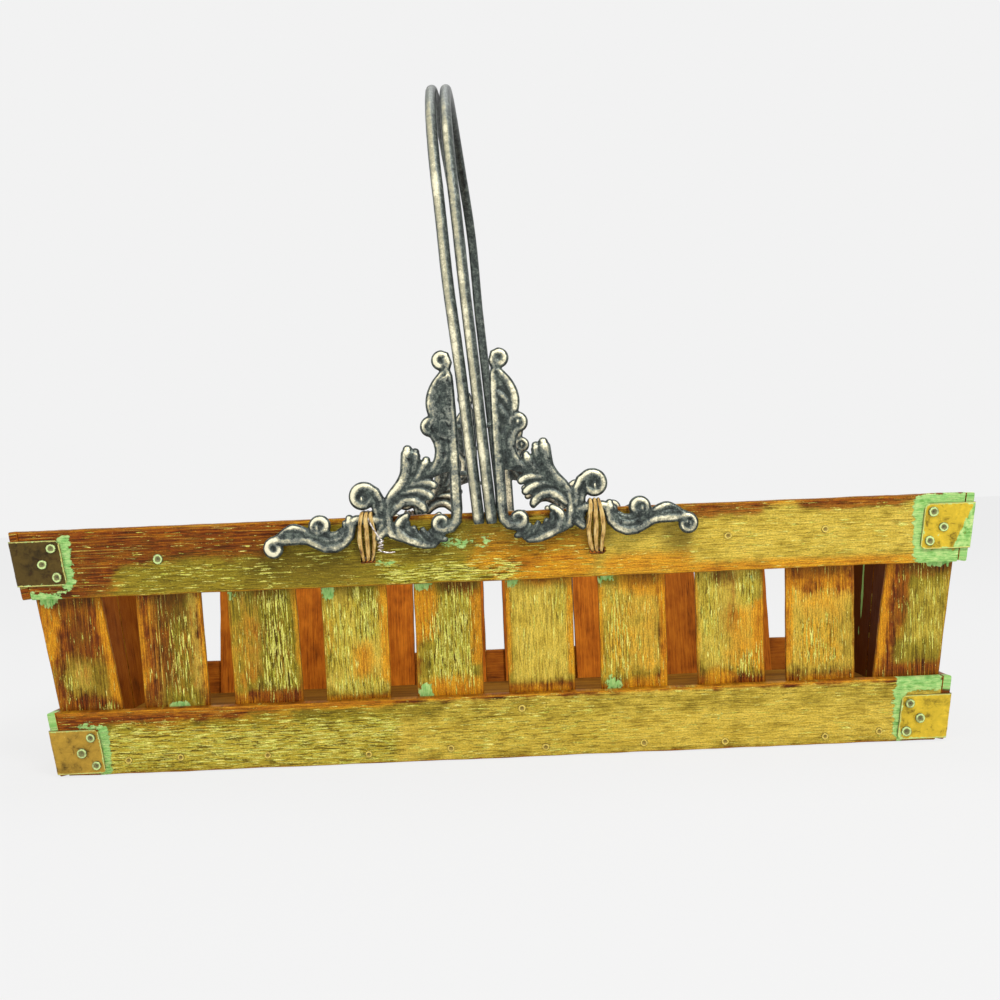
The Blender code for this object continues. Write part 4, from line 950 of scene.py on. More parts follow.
def slot_cutters():
    """For each long wall, the places of its ties with the boxes that cut their slots."""
    return {wall: [(x, slot_cutter(wall, x)) for x in tie_places(wall)]
            for wall in LONG_WALLS}


def remove_cutters(cutters):
    """Remove the boxes when all slots are cut."""
    for pair in cutters.values():
        for _, cutter in pair:
            bpy.data.objects.remove(cutter)


def cut_slot(board, cutter):
    """Cut a tie's slot through a board."""
    cut = board.modifiers.new("tie slot", "BOOLEAN")
    cut.operation = "DIFFERENCE"
    cut.solver = "EXACT"
    cut.object = cutter


def node_ends(node, wall):
    """Ends of a slat along its wall at its low and its high end, and its heights."""
    axis = 0 if is_long(wall) else 1
    points = [vertex.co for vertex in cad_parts[node].data.vertices]
    low = min(point.z for point in points)
    high = max(point.z for point in points)
    spans = []
    for level in (low, high):
        row = [point[axis] for point in points if abs(point.z - level) < 0.5 * MM]
        spans.append((min(row), max(row)))
    return spans, (low, high)


def make_slats():
    """All the slats of the four walls."""
    s = sizes()
    cutters = slot_cutters()
    for wall in WALLS:
        count = 10 if is_long(wall) else 3
        for number in range(1, count + 1):
            name = f"{wall}_slat_{number:02d}"
            spans, heights = node_ends(name, wall)
            depths = (s.rail_thickness + FIT_GAP, s.rail_thickness + FIT_GAP + s.slat_thickness)
            patches = FRONT_PATCHES.get(name) or random_patches(name, *SLAT_PATCH_AREA)
            add_end_patch(name, patches)
            cells = FRONT_SLAT_CELLS if wall == "front" else OTHER_SLAT_CELLS
            board = add_board(name, wall, spans, heights, depths, True, cells, patches,
                              SLAT_BEVEL)
            for x, cutter in cutters.get(wall, []):
                if spans[0][0] - SLOT_REACH < x < spans[0][1] + SLOT_REACH:
                    cut_slot(board, cutter)
            finish_board(board, name, "slat_paint")
    remove_cutters(cutters)


def rail_heights(wall, level):
    """Lower and upper edge of a rail."""
    s = sizes()
    if level == "bottom":
        return 0.0, s.back_bottom_rail if wall == "back" else s.bottom_rail
    return s.height - (s.back_top_rail if wall == "back" else s.top_rail), s.height


def make_rails():
    """The two bands of rails."""
    s = sizes()
    cutters = slot_cutters()
    for level in ("bottom", "top"):
        for wall in WALLS:
            heights = rail_heights(wall, level)
            name = f"{wall}_{level}_rail"
            if is_long(wall):
                reaches = [half_length(z) - level_depth("left", s.rail_thickness) - FIT_GAP
                           for z in heights]
                cells = LONG_RAIL_CELLS
            else:
                reaches = [half_width(z) for z in heights]
                cells = END_RAIL_CELLS
            spans = [(-reach, reach) for reach in reaches]
            patches = FRONT_PATCHES.get(name)
            if patches is None:
                length = reaches[1] * 2 / MM
                patches = random_patches(name, length, heights[0] / MM, heights[1] / MM)
                patches = {channel: [(start - length / 2, end - length / 2, *rest)
                                     for start, end, *rest in rows]
                           for channel, rows in patches.items()}
            add_end_patch(name, patches)
            board = add_board(name, wall, spans, heights, (0.0, s.rail_thickness), False,
                              cells, patches, RAIL_BEVEL)
            if level == "top":
                for _, cutter in cutters.get(wall, []):
                    cut_slot(board, cutter)
            finish_board(board, name, "rail_paint")
    remove_cutters(cutters)


# Corner plates and nails

PLATE_FINISH = {
    ("front", "left", "top"): "bronze_plate", ("front", "left", "bottom"): "brown_plate",
    ("front", "right", "top"): "brass_plate", ("front", "right", "bottom"): "brass_plate",
    ("back", "left", "top"): "brown_plate", ("back", "left", "bottom"): "bronze_plate",
    ("back", "right", "top"): "bronze_plate", ("back", "right", "bottom"): "brown_plate",
}
PLATE_TOP_DROP, PLATE_FOOT = 5.5 * MM, 1.5 * MM
PLATE_BEND = 1.2 * MM
PLATE_CELLS = (60, 26)
BROAD_DENT, SMALL_DENT = 0.25 * MM, 0.12 * MM
# Places of a plate's nails, as shares of its length and its height
PLATE_NAILS = ((0.88, 0.82), (0.64, 0.475), (0.885, 0.185))


def plate_heights(level):
    """Lower and upper edge of a corner plate."""
    s = sizes()
    if level == "top":
        top = s.height - PLATE_TOP_DROP
        return top - s.plate_height, top
    return PLATE_FOOT, PLATE_FOOT + s.plate_height


def plate_point(end, side, run, skirt, z, lift):
    """Point of a plate: run along the long wall, skirt along the end wall."""
    x = half_length(z) + level_depth("left", FIT_GAP) + lift
    y = half_width(z) + level_depth("front", FIT_GAP) + lift
    return Vector((end * (x - run), side * (y - skirt), z))


def make_plate(wall, hand, level):
    """One sheet plate bent round its corner, with rounded free corners and dents."""
    s = sizes()
    end = -1 if hand == "left" else 1
    side = -1 if wall == "front" else 1
    low, high = plate_heights(level)
    name = f"{wall}_{hand}_{level}_plate"
    plate = add_grid(name + "_sheet", *PLATE_CELLS)
    mesh = plate.data
    corner = s.plate_corner
    rng = random.Random(name)
    shift = Vector((rng.uniform(0, 50), rng.uniform(0, 50), 0))
    edge, mint = [], []
    for vertex in mesh.vertices:
        reach = vertex.co.x * 2 * s.plate_length
        z = low + (vertex.co.y + 0.5) * (high - low)
        away = s.plate_length - abs(reach)
        rise = min(z - low, high - z)
        if away < corner and rise < corner:
            p, q = corner - away, corner - rise
            share = max(p, q) / max(1e-9, math.hypot(p, q))
            away, new_rise = corner - p * share, corner - q * share
            reach = math.copysign(s.plate_length - away, reach)
            z = low + new_rise if z - low < high - z else high - new_rise
            rise = new_rise
        if abs(reach) < PLATE_BEND:
            angle = (reach / PLATE_BEND + 1) * math.pi / 4
            run = PLATE_BEND * (1 - math.sin(angle))
            skirt = PLATE_BEND * (1 - math.cos(angle))
        else:
            run, skirt = max(0.0, -reach), max(0.0, reach)
        dent = BROAD_DENT * noise.noise(Vector((reach * 130, z * 130, 0)) + shift)
        dent += SMALL_DENT * noise.noise(Vector((reach * 420, z * 420, 5)) + shift)
        border = min(away, rise)
        edge.append(border)
        on_front = max(0.0, -reach) / s.plate_length
        daub = 0.75 * ease(-border, -1.6 * MM, 0)
        if hand == "right" and level == "top":
            daub = max(daub, ease(0.42 - on_front - 0.36 * (z - low) / (high - low), 0, 0.1))
        if hand == "right" and level == "bottom":
            daub = max(daub, 0.5 * ease(on_front, 0.86, 0.98))
        mint.append(daub)
        vertex.co = plate_point(end, side, run, skirt, z, max(0.0, dent))
    paint(mesh, "edge", edge)
    paint(mesh, "mint", mint)
    middle = min(mesh.polygons, key=lambda polygon: (
        polygon.center - plate_point(end, side, 12 * MM, 0, (low + high) / 2, 0)).length)
    if middle.normal.dot(wall_normal(wall)) < 0:
        mesh.flip_normals()
    add_shell(plate, s.plate_sheet, 1.0)
    finish_shape(plate, 50)
    mesh.materials.append(material(PLATE_FINISH[wall, hand, level]))
    place_piece(plate, [name])


def make_plates():
    """The eight corner plates."""
    for wall in LONG_WALLS:
        for hand in HANDS:
            for level in ("bottom", "top"):
                make_plate(wall, hand, level)


def nail_pattern(radius, finish):
    """A nail head: a low dome with a punched middle, standing on z = 0."""
    s = sizes()
    deselect()
    bpy.ops.mesh.primitive_cylinder_add(vertices=18, radius=radius, depth=s.nail_height,
                                        location=(0, 0, s.nail_height / 2))
    nail = bpy.context.object
    apply_place(nail)
    bpy.ops.object.mode_set(mode="EDIT")
    bm = bmesh.from_edit_mesh(nail.data)
    for face in bm.faces:
        face.select_set(face.normal.z > 0.9)
    bmesh.update_edit_mesh(nail.data)
    for thickness, drop in ((0.22, 0.10), (0.30, -0.02), (0.40, -0.45), (0.35, -0.25)):
        bpy.ops.mesh.inset(thickness=radius * thickness * 0.75)
        bpy.ops.transform.translate(value=(0, 0, s.nail_height * drop))
    bpy.ops.object.mode_set(mode="OBJECT")
    add_bevel(nail, s.nail_height * 0.3, 50)
    finish_shape(nail, 60)
    mesh = nail.data
    ring = [math.hypot(vertex.co.x, vertex.co.y) / radius for vertex in mesh.vertices]
    paint(mesh, "ring", ring)
    mesh.materials.append(material(finish))
    mesh.name = "nail"
    bpy.data.objects.remove(nail)
    return mesh


# Nails of the rails and the board: place along the wall and height, in millimetres
BARE_NAIL = (-194.4, 127.0)
FRONT_NAILS = [
    (-220.7, 8.5), (-189.9, 9.0), (-138.5, 8.0), (-78.8, 6.0), (-30.1, 7.5), (26.1, 6.0),
    (84.3, 5.9), (132.3, 4.7), (191.6, 5.2), (223.7, 6.9), (12.9, 29.9), BARE_NAIL,
    (136.3, 126.8), (192.6, 128.2),
]
BACK_NAILS = [(-214, 8.0), (-161, 7.2), (-108, 8.1), (-55, 6.8), (-2, 7.6), (52, 7.1),
              (105, 8.2), (158, 6.9), (211, 7.7), (-176, 126.5), (20, 129.0), (181, 127.0)]
NAIL_DEPTH, BARE_NAIL_DEPTH = 0.5 * MM, 0.35 * MM
NAIL_TILT = 0.08
END_NAILS = [(-52, 7.5), (-2, 8.2), (49, 7.0), (3, 127.5)]


def add_nail(pattern, name, wall, along, z, depth, rng):
    """One nail head on a wall, a little tilted and squeezed."""
    out = wall_normal(wall)
    axis = wall_axes(wall)[0]
    across = out.cross(axis)
    turn = Matrix((axis, across, out)).transposed().to_4x4()
    if turn.determinant() < 0:
        turn = Matrix((-axis, across, out)).transposed().to_4x4()
    spot = wall_point(wall, along, depth, z)
    tilt = Matrix.Rotation(rng.uniform(-NAIL_TILT, NAIL_TILT), 4, "X")
    tilt = tilt @ Matrix.Rotation(rng.uniform(-NAIL_TILT, NAIL_TILT), 4, "Y")
    scale = Matrix.Diagonal((rng.uniform(0.92, 1.06), rng.uniform(0.92, 1.06), 1.0, 1.0))
    mesh = pattern.copy()
    mesh.name = name
    mesh.transform(Matrix.Translation(spot) @ turn @ tilt @ scale)
    place_piece(new_object(name, mesh))


def make_nails():
    """Nail heads of the rails, the board and the plates."""
    s = sizes()
    pattern = nail_pattern(s.nail_radius, "nail_head")
    painted = nail_pattern(s.rail_nail_radius, "painted_nail")
    rng = random.Random(7)
    rows = {"front": FRONT_NAILS, "back": BACK_NAILS, "left": END_NAILS, "right": END_NAILS}
    for wall, places in rows.items():
        for number, (along, z) in enumerate(places, 1):
            bare = (along, z) == BARE_NAIL
            add_nail(pattern if bare else painted, f"{wall}_rail_nail_{number:02d}", wall,
                     along * MM, z * MM, BARE_NAIL_DEPTH if bare else NAIL_DEPTH, rng)
    lift = -(FIT_GAP + s.plate_sheet)
    for wall in WALLS:
        for hand in (-1, 1):
            for level in ("bottom", "top"):
                low, high = plate_heights(level)
                for number, (run, rise) in enumerate(PLATE_NAILS, 1):
                    z = low + (high - low) * rise
                    reach = half_length(z) if is_long(wall) else half_width(z)
                    along = hand * (reach - s.plate_length * (run - 0.06))
                    place = "left" if hand < 0 else "right"
                    add_nail(pattern, f"{wall}_{place}_{level}_plate_nail_{number}", wall,
                             along, z, lift, rng)
    bpy.data.meshes.remove(pattern)
    bpy.data.meshes.remove(painted)


# Handle

HANDLE_LEAN = math.radians(4.4)
HANDLE_TWIST = math.radians(1.9)
HANDLE_FOOT_X = -4.35 * MM
ROD_FOOT_SPACING = 7.2 * MM
ROD_TOP_SPACING = 9.0 * MM
ROD_FOOT_DROP = 6.5 * MM
ROD_BOW = 0.9 * MM
ROD_STEPS, ARCH_STEPS = 60, 90
ROD_FULLNESS, ROD_SWELL, ROD_PITS = 1.05, 0.025, 0.05 * MM


def handle_radius():
    """Radius of the handle's arch."""
    return sizes().rim_width / 2 + FIT_GAP + sizes().rod_radius


def spring_height():
    """Height where the legs turn into the arch."""
    return sizes().handle_top - sizes().rod_radius - handle_radius()


def rod_x(side, y, z):
    """Sideways place of a rod: the handle leans and is turned a little."""
    s = sizes()
    rise = min(1.0, max(0.0, (z - s.height) / (spring_height() - s.height)))
    spacing = ROD_FOOT_SPACING + (ROD_TOP_SPACING - ROD_FOOT_SPACING) * rise
    lean = -math.tan(HANDLE_LEAN) * (z - s.height)
    twist = math.tan(HANDLE_TWIST) * (y + handle_radius())
    bow = ROD_BOW * math.sin(math.pi * ease(z, s.height + 0.15, s.handle_top))
    bow *= 0.6 + y / handle_radius()
    front = 0.5 - y / (2 * handle_radius())
    bow -= (0.6 - 0.3 * side) * MM * front * math.sin(
        math.pi * ease(z, s.height + 0.076, s.height + 0.19))
    return HANDLE_FOOT_X + lean + twist + bow + side * spacing / 2


def tubes(name, lines, sides):
    """Mesh of tubes, each along its own line of (place, radius), with closed ends."""
    curve = bpy.data.curves.new(name, "CURVE")
    curve.dimensions = "3D"
    curve.bevel_depth = 1.0
    curve.bevel_resolution = sides
    curve.use_fill_caps = True
    for line in lines:
        spline = curve.splines.new("POLY")
        spline.points.add(len(line) - 1)
        for point, (place, radius) in zip(spline.points, line):
            point.co = (*place, 1.0)
            point.radius = radius
    guide = new_object(name, curve)
    take(guide)
    bpy.ops.object.convert(target="MESH")
    mesh = guide.data
    mesh.name = name
    bpy.data.objects.remove(guide)
    bm = bmesh.new()
    bm.from_mesh(mesh)
    bmesh.ops.remove_doubles(bm, verts=bm.verts, dist=1e-6)
    bmesh.ops.recalc_face_normals(bm, faces=bm.faces)
    bm.to_mesh(mesh)
    bm.free()
    return mesh


def make_rods():
    """The two rods of the handle, each one bent length, a little uneven."""
    s = sizes()
    radius, spring = handle_radius(), spring_height()
    foot = s.height - ROD_FOOT_DROP
    path = [(-radius, foot + (spring - foot) * n / ROD_STEPS) for n in range(ROD_STEPS)]
    for n in range(ARCH_STEPS + 1):
        angle = math.pi * n / ARCH_STEPS
        path.append((-radius * math.cos(angle), spring + radius * math.sin(angle)))
    path += [(radius, z) for y, z in reversed(path[:ROD_STEPS])]
    for hand, side in (("left", -1), ("right", 1)):
        line = []
        for index, (y, z) in enumerate(path):
            swell = ROD_SWELL * noise.noise(Vector((index * 0.35, side, 0)))
            end = 0.82 if index in (0, len(path) - 1) else 1.0
            line.append(((rod_x(side, y, z), y, z), s.rod_radius * end * (ROD_FULLNESS + swell)))
        mesh = tubes(f"handle_rod_{hand}", [line], 6)
        crest = []
        for vertex in mesh.vertices:
            co = vertex.co
            # Painted highlight: a stripe on the side facing front and a little left; painted shade
            # darkens the top of the arch.
            rise = max(0.0, co.z - spring) / radius
            away = Vector((-0.40, co.y / radius, rise)).normalized()
            facing = ease(vertex.normal.dot(away), 0.62, 1.0)
            shade = 0.65 * ease(co.z, s.handle_top - 0.06, s.handle_top)
            patch = noise.noise(co * 45 + Vector((side * 9, 0, 0)))
            crest.append(-0.05 + 0.95 * facing + 0.25 * patch - shade)
            vertex.co = co + vertex.normal * ROD_PITS * noise.noise(co * 600)
        paint(mesh, "crest", crest)
        mesh.shade_smooth()
        mesh.set_sharp_from_angle(angle=math.radians(50))
        mesh.materials.append(material("rod_metal"))
        name = f"handle_rod_{hand}"
        place_piece(new_object(name + "_bar", mesh), [name])


# Cast scrolls. Strokes are (along, up, radius) in millimetres from the bracket's origin.

BRACKET_LEAN = math.radians(1.25)
BRACKET_PLANE = 103.4 * MM
BRACKET_X = {"left": -17.7 * MM, "right": 3.6 * MM}
MOST_DEPTH = 3.05
WING_DEPTH = {"left": 2.55, "right": 0.9}
WEB_DEPTH = 1.2
CREST_ROUNDS = 40


def curl(centre, start, sweep, radii, weights):
    """Points of a spiral: centre, angles in degrees, radii and stroke radii."""
    steps = max(3, round(abs(sweep) / 10))
    points = []
    for n in range(steps + 1):
        share = n / steps
        angle = math.radians(start + sweep * share)
        radius = radii[0] + (radii[1] - radii[0]) * share
        weight = weights[0] + (weights[1] - weights[0]) * share
        points.append((centre[0] + radius * math.cos(angle),
                       centre[1] + radius * math.sin(angle), weight))
    return points


def blob(along, up, radius):
    """Short stroke that makes a ball."""
    return [(along - radius * 0.45, up, radius * 0.55), (along - radius * 0.2, up, radius * 0.92),
            (along + radius * 0.2, up, radius * 0.92), (along + radius * 0.45, up, radius * 0.55)]


def scroll_strokes(hand):
    """Strokes of a scroll. The two hands' castings differ in their wing and ends."""
    spine = [(3.8, 83.5, 1.7), (2.4, 79, 1.9), (2.2, 70, 2.1), (2.1, 50, 2.4), (2.1, 28, 2.5),
             (2.2, 3, 2.6), (3.0, -4, 2.5), (6.0, -7.6, 2.35), (10.5, -8.6, 2.2)]
    spine += curl((11.4, -4.8), -75, 330, (4.0, 1.8), (2.15, 1.5))
    top = [(3.8, 82.5, 1.7), (2.2, 87, 1.85), (3.4, 91, 1.95)]
    top += curl((5.8, 88.2), 90, -300, (3.6, 2.2), (2.0, 1.9))
    wing = [(4.2, 82, 1.7), (7.0, 78.4, 2.1), (10.0, 74.4, 2.3), (12.4, 69.2, 2.4),
            (13.4, 64.0, 2.35), (13.0, 59.2, 2.1), (12.0, 56.0, 1.8)]
    strokes = [spine, top, wing]
    if hand == "right":
        strokes += [
            [(2.2, 79, 1.3), (4.6, 75.6, 1.6), (7.4, 71.2, 1.5), (9.4, 67.0, 1.1)],
            [(2.2, 69.4, 1.6), (5.2, 67.6, 1.9), (8.4, 64.0, 1.8), (10.4, 59.4, 1.4)],
            [(2.2, 62, 1.4), (4.8, 59.4, 1.7), (7.2, 55.8, 1.6), (8.8, 52.8, 1.3)],
        ]
    else:
        strokes += [[(11.4, 74, 0.9), (12.0, 66, 1.0), (11.8, 58, 0.9)],
                    [(5.0, 79, 0.8), (5.4, 70, 0.9), (5.2, 58, 0.9)]]
    strokes += [
        [(17.5, 22.4, 1.4), (11.5, 26, 1.7), (7.5, 31, 1.8), (5.7, 37, 1.8), (6.0, 43, 1.8),
         (8.8, 48, 1.6)],
        [(22.0, 21.4, 1.5), (15.6, 25.6, 1.9), (11.4, 30.4, 2.1), (9.8, 36, 2.3),
         (10.3, 41.2, 2.3), (12.0, 45.2, 2.2), (14.2, 48, 2.0)],
        curl((14.4, 50.8), 235, -330, (3.7, 3.0), (2.2, 2.1)),
        blob(14.6, 50.8, 2.8),
        [(24.0, 36.8, 1.7), (24.4, 35.2, 2.6), (25.4, 29, 2.4), (27.4, 22.6, 2.1),
         (31.0, 16.6, 1.8), (35.6, 12.2, 1.6), (38.6, 8.2, 1.4)],
        [(28.4, 38.5, 2.1), (28.5, 36.2, 3.2), (29.2, 30, 3.1), (30.4, 24, 2.9),
         (33.7, 18.4, 2.7), (38.2, 13.4, 2.5), (41.2, 8.5, 2.3), (42.2, 2.5, 2.1),
         (42.0, -4, 2.3), (40.2, -9, 2.4)],
        [(18.0, 31.8, 1.7), (18.6, 30, 2.5), (20.6, 26.4, 2.4), (23.8, 22.2, 2.1),
         (27.8, 18.6, 1.7)],
        [(30.5, 17.2, 1.6), (24, 19.2, 1.9), (18.4, 19.0, 2.1), (14.4, 17.2, 1.8)],
        [(32.5, 14.0, 1.6), (25.5, 14.6, 1.9), (20.2, 13.2, 2.1), (16.6, 10.8, 1.8)],
        [(40, 3, 1.8), (36, 6.6, 2.1), (31, 8.8, 2.3), (25.8, 8.4, 2.3), (22, 5.6, 2.2),
         (20.6, 3.6, 1.7)],
        [(31.2, 0.6, 1.6), (35.0, -2.4, 2.1), (36.6, -6.6, 2.3), (34.0, -11, 2.3),
         (28.5, -14.2, 2.1), (22, -16.4, 1.8), (16.5, -16.8, 1.3)],
        [(9.6, -14.2, 0.8), (12.2, -13.6, 1.2), (15.4, -11.6, 1.2), (17.6, -8.8, 0.8)],
        [(14.6, -15.6, 0.9), (17.6, -14.0, 1.3), (20.8, -11.2, 1.3), (22.6, -7.8, 0.9)],
        [(20.0, -15.6, 0.9), (23.0, -13.6, 1.3), (26.2, -10.4, 1.3), (27.4, -6.6, 0.9)],
        [(25.6, -13.6, 0.9), (28.6, -11.0, 1.3), (31.0, -7.2, 1.3), (31.0, -3.2, 0.9)],
        [(41.5, -7.0, 2.2), (38, -10.4, 1.9), (34, -12.4, 1.5)],
        [(42.4, -6.0, 2.0), (45.4, -8.4, 1.9), (48.0, -11.2, 1.4)],
        [(48.2, -9.0, 1.4), (45.6, -4.0, 1.9), (44.9, 3.0, 2.1), (45.7, 10, 2.1),
         (48.4, 15.4, 2.2)] + curl((55.6, 12.8), 120, -340, (6.2, 3.9), (2.3, 1.6)),
        [(48.2, -4.5, 1.4), (47.9, 2.0, 1.8), (48.9, 8.2, 1.7), (51.4, 13.2, 1.5)],
        blob(56.4, 11.5, 2.2),
        [(45.5, -1.0, 2.2), (60.0, 0.0, 2.25), (63.4, -3.0, 2.3)],
        [(64.2, 1.2, 1.6), (64.1, -0.6, 2.2), (63.7, -4.5, 2.3), (64.8, -8.8, 2.3),
         (68.0, -12.6, 2.3), (73.0, -15.0, 2.4), (78.6, -14.8, 2.3), (84.0, -12.2, 2.2),
         (88.4, -9.9, 2.1), (93, -9.4, 2.0), (98.5, -9.4, 2.0), (104, -9.2, 2.0)]
        + curl((108.2, -13.4), 105, -345, (4.2, 2.2), (2.2, 1.8)),
        [(66.6, -1.5, 1.3), (66.6, -5.4, 1.7), (68.6, -8.8, 1.8), (72.6, -10.9, 1.9),
         (77.4, -11.0, 1.8), (82.6, -8.8, 1.6), (88, -7.0, 1.6), (95, -6.6, 1.6),
         (102, -6.4, 1.5), (107, -8.0, 1.5)],
        [(69.4, -5.4, 0.9), (71.6, -7.4, 1.3), (75.4, -7.8, 1.4), (78.6, -6.8, 1.2)],
        curl((81.2, -2.2), -60, 330, (3.9, 3.2), (2.3, 2.0)),
        blob(82.8, -3.2, 2.6),
        [(87.8, -6.0, 1.4), (92.2, -3.8, 1.8), (96.8, -2.4, 1.8), (100.8, -3.6, 1.3),
         (104.5, -6.4, 1.3)],
    ]
    if hand == "right":
        strokes += [blob(109.6, -14.0, 2.6), blob(108.0, -12.6, 2.4)]
    return strokes


WING_WEB = [(3.0, 80.0), (7.2, 77.2), (11.8, 69.0), (13.0, 62.0), (12.4, 56.0), (14.5, 53.0),
            (13.0, 48.0), (9.0, 44.0), (3.0, 42.0)]
SCROLL_WEBS = [
    [(2.5, 45.0), (9.0, 45.0), (8.0, 37.0), (9.5, 31.0), (14.0, 26.5), (20.5, 22.0),
     (15.0, 21.4), (8.0, 23.6), (2.5, 25.0)],
    [(15.2, 18.0), (20.5, 23.5), (22.5, 30.0), (26.2, 37.0), (30.0, 34.0), (31.0, 24.0),
     (39.0, 13.0), (41.8, 4.0), (42.5, -3.0), (39.8, 2.0), (35.0, 7.0), (30.0, 9.2),
     (24.5, 8.2), (20.5, 6.0), (18.0, 11.0)],
    [(6.0, -8.5), (14.0, -10.0), (21.0, -11.5), (29.0, -10.5), (34.5, -6.0), (38.0, -4.0),
     (42.0, -3.0), (43.0, -7.5), (37.0, -11.0), (30.0, -14.0), (22.0, -16.0), (14.0, -15.5)],
    [(45.0, -5.0), (45.2, 5.0), (47.0, 13.0), (50.0, 15.0), (49.2, 8.0), (48.0, 1.0),
     (48.2, -6.0)],
    [(64.5, -4.0), (69.0, -6.5), (76.0, -8.0), (80.0, -2.0), (85.0, -5.0), (92.0, -4.5),
     (101.0, -5.0), (108.0, -10.0), (109.0, -14.0), (105.0, -9.5), (92.0, -9.5),
     (78.0, -14.0), (70.0, -13.0)],
]

# Middles of the curls and the size of the floor in them: along, up, radius
CURL_EYES = ((5.8, 88.2, 3.6), (14.4, 50.8, 3.6), (11.4, -4.8, 3.4), (55.6, 12.8, 5.0),
             (81.2, -2.2, 3.8), (108.2, -13.4, 3.6))


def disc(along, up, radius):
    """Outline of a round floor."""
    return [(along + radius * math.cos(math.radians(a)), up + radius * math.sin(math.radians(a)))
            for a in range(0, 360, 30)]


def stroke_line(stroke):
    """Places and radii of one stroke, rounded."""
    extra = sizes().scroll_extra
    points = smooth_line([(x, z) for x, z, r in stroke], [r for x, z, r in stroke])
    line = [(Vector((x, 0.0, z)) * MM, r * MM + extra) for x, z, r in points]
    return round_end(line[1], line[0])[::-1] + line + round_end(line[-2], line[-1])


def round_end(before, last):
    """Points that close a stroke with a dome instead of a flat end."""
    place, radius = last
    ahead = (place - before[0]).normalized()
    return [(place + ahead * radius * run, radius * share)
            for run, share in ((0.45, 0.88), (0.75, 0.62), (0.92, 0.30))]


FINE_ENOUGH = 14  # A stroke with more points than this stays as it is


def smooth_line(places, weights):
    """Finer points on a smooth curve through a stroke's points."""
    rows = [(*place, weight) for place, weight in zip(places, weights)]
    if len(rows) > FINE_ENOUGH:
        return rows
    rows = [rows[0], *rows, rows[-1]]
    fine = []
    for index in range(1, len(rows) - 2):
        a, b, c, d = rows[index - 1:index + 3]
        for step in range(4):
            t = step / 4
            fine.append(tuple(
                ((-t + 2 * t**2 - t**3) * a[k] + (2 - 5 * t**2 + 3 * t**3) * b[k]
                 + (t + 4 * t**2 - 3 * t**3) * c[k] + (t**3 - t**2) * d[k]) / 2
                for k in range(3)))
    fine.append(rows[-2])
    return fine


def web_sheet(outline, half_depth):
    """Flat web between strokes."""
    bm = bmesh.new()
    front = [bm.verts.new((x * MM, -half_depth * MM, z * MM)) for x, z in outline]
    back = [bm.verts.new((x * MM, half_depth * MM, z * MM)) for x, z in outline]
    bm.faces.new(front)
    bm.faces.new(back[::-1])
    count = len(outline)
    for n in range(count):
        m = (n + 1) % count
        bm.faces.new((front[m], front[n], back[n], back[m]))
    bmesh.ops.recalc_face_normals(bm, faces=bm.faces)
    mesh = bpy.data.meshes.new("web")
    bm.to_mesh(mesh)
    bm.free()
    return mesh


def crest_values(mesh, rounds):
    """How far each point stands proud of its surroundings, about -1 to 1."""
    count = len(mesh.vertices)
    places = point_rows(mesh, "co")
    edges = np.zeros(len(mesh.edges) * 2, np.int64)
    mesh.edges.foreach_get("vertices", edges)
    first, second = edges.reshape(-1, 2).T
    links = np.bincount(first, minlength=count) + np.bincount(second, minlength=count)
    smooth = places.copy()
    for _ in range(rounds):
        total = np.zeros_like(smooth)
        for axis in range(3):
            total[:, axis] = (np.bincount(first, smooth[second, axis], count)
                              + np.bincount(second, smooth[first, axis], count))
        smooth = total / links[:, None]
    return ((places - smooth) * point_rows(mesh, "normal")).sum(1) / MM


def rubbed_share(mesh):
    """How rubbed each point of a casting is: 1 on its crests, below 0 in its grooves."""
    facing = np.abs(point_rows(mesh, "normal")[:, 1])
    level = np.abs(point_rows(mesh, "co")[:, 1]) / MM
    proud = crest_values(mesh, CREST_ROUNDS)
    crest = np.clip(proud / 0.45, 0, 1.15) * np.clip((facing - 0.70) / 0.25, 0, 1) ** 1.4
    groove = np.clip(-proud / 0.25, 0, 1)
    low = np.clip((1.9 - level) / 1.0, 0, 1) * np.clip((facing - 0.3) / 0.5, 0, 1)
    return crest - np.maximum(groove, low)


def paint_crest_highlight(mesh):
    """Add painted highlight to the crest values: crests and faces that look up and left get
    brighter than the others.
    """
    values = np.zeros(len(mesh.vertices))
    rubbed = mesh.attributes["crest"].data
    rubbed.foreach_get("value", values)
    lit = point_rows(mesh, "normal") @ np.array((-0.35, 0.0, 0.94))
    values += np.clip(values, 0, 1) * (0.85 * lit + 0.05) + 0.32 * np.clip(lit, 0, 1)
    rubbed.foreach_set("value", values.astype(np.float32))


def scroll_mesh(hand):
    """Mesh of one casting: its strokes and webs melted together and smoothed."""
    strokes = tubes("strokes", [stroke_line(stroke) for stroke in scroll_strokes(hand)], 4)
    widest = max(vertex.co.y for vertex in strokes.vertices)
    strokes.transform(Matrix.Diagonal((1.0, MOST_DEPTH * MM / widest, 1.0, 1.0)))
    meshes = [strokes]
    meshes.append(web_sheet(WING_WEB, WING_DEPTH[hand]))
    outlines = SCROLL_WEBS + [disc(*eye) for eye in CURL_EYES]
    meshes += [web_sheet(outline, WEB_DEPTH) for outline in outlines]
    bm = bmesh.new()
    for mesh in meshes:
        bm.from_mesh(mesh)
        bpy.data.meshes.remove(mesh)
    joined = bpy.data.meshes.new("scroll")
    bm.to_mesh(joined)
    bm.free()
    body = new_object("scroll", joined)
    melt = body.modifiers.new("melt", "REMESH")
    melt.mode = "VOXEL"
    melt.voxel_size = sizes().scroll_voxel
    soften = body.modifiers.new("soften", "SMOOTH")
    soften.factor = 0.5
    soften.iterations = 3
    apply_modifiers(body)
    mesh = body.data
    bpy.data.objects.remove(body)
    drop_specks(mesh)
    return mesh


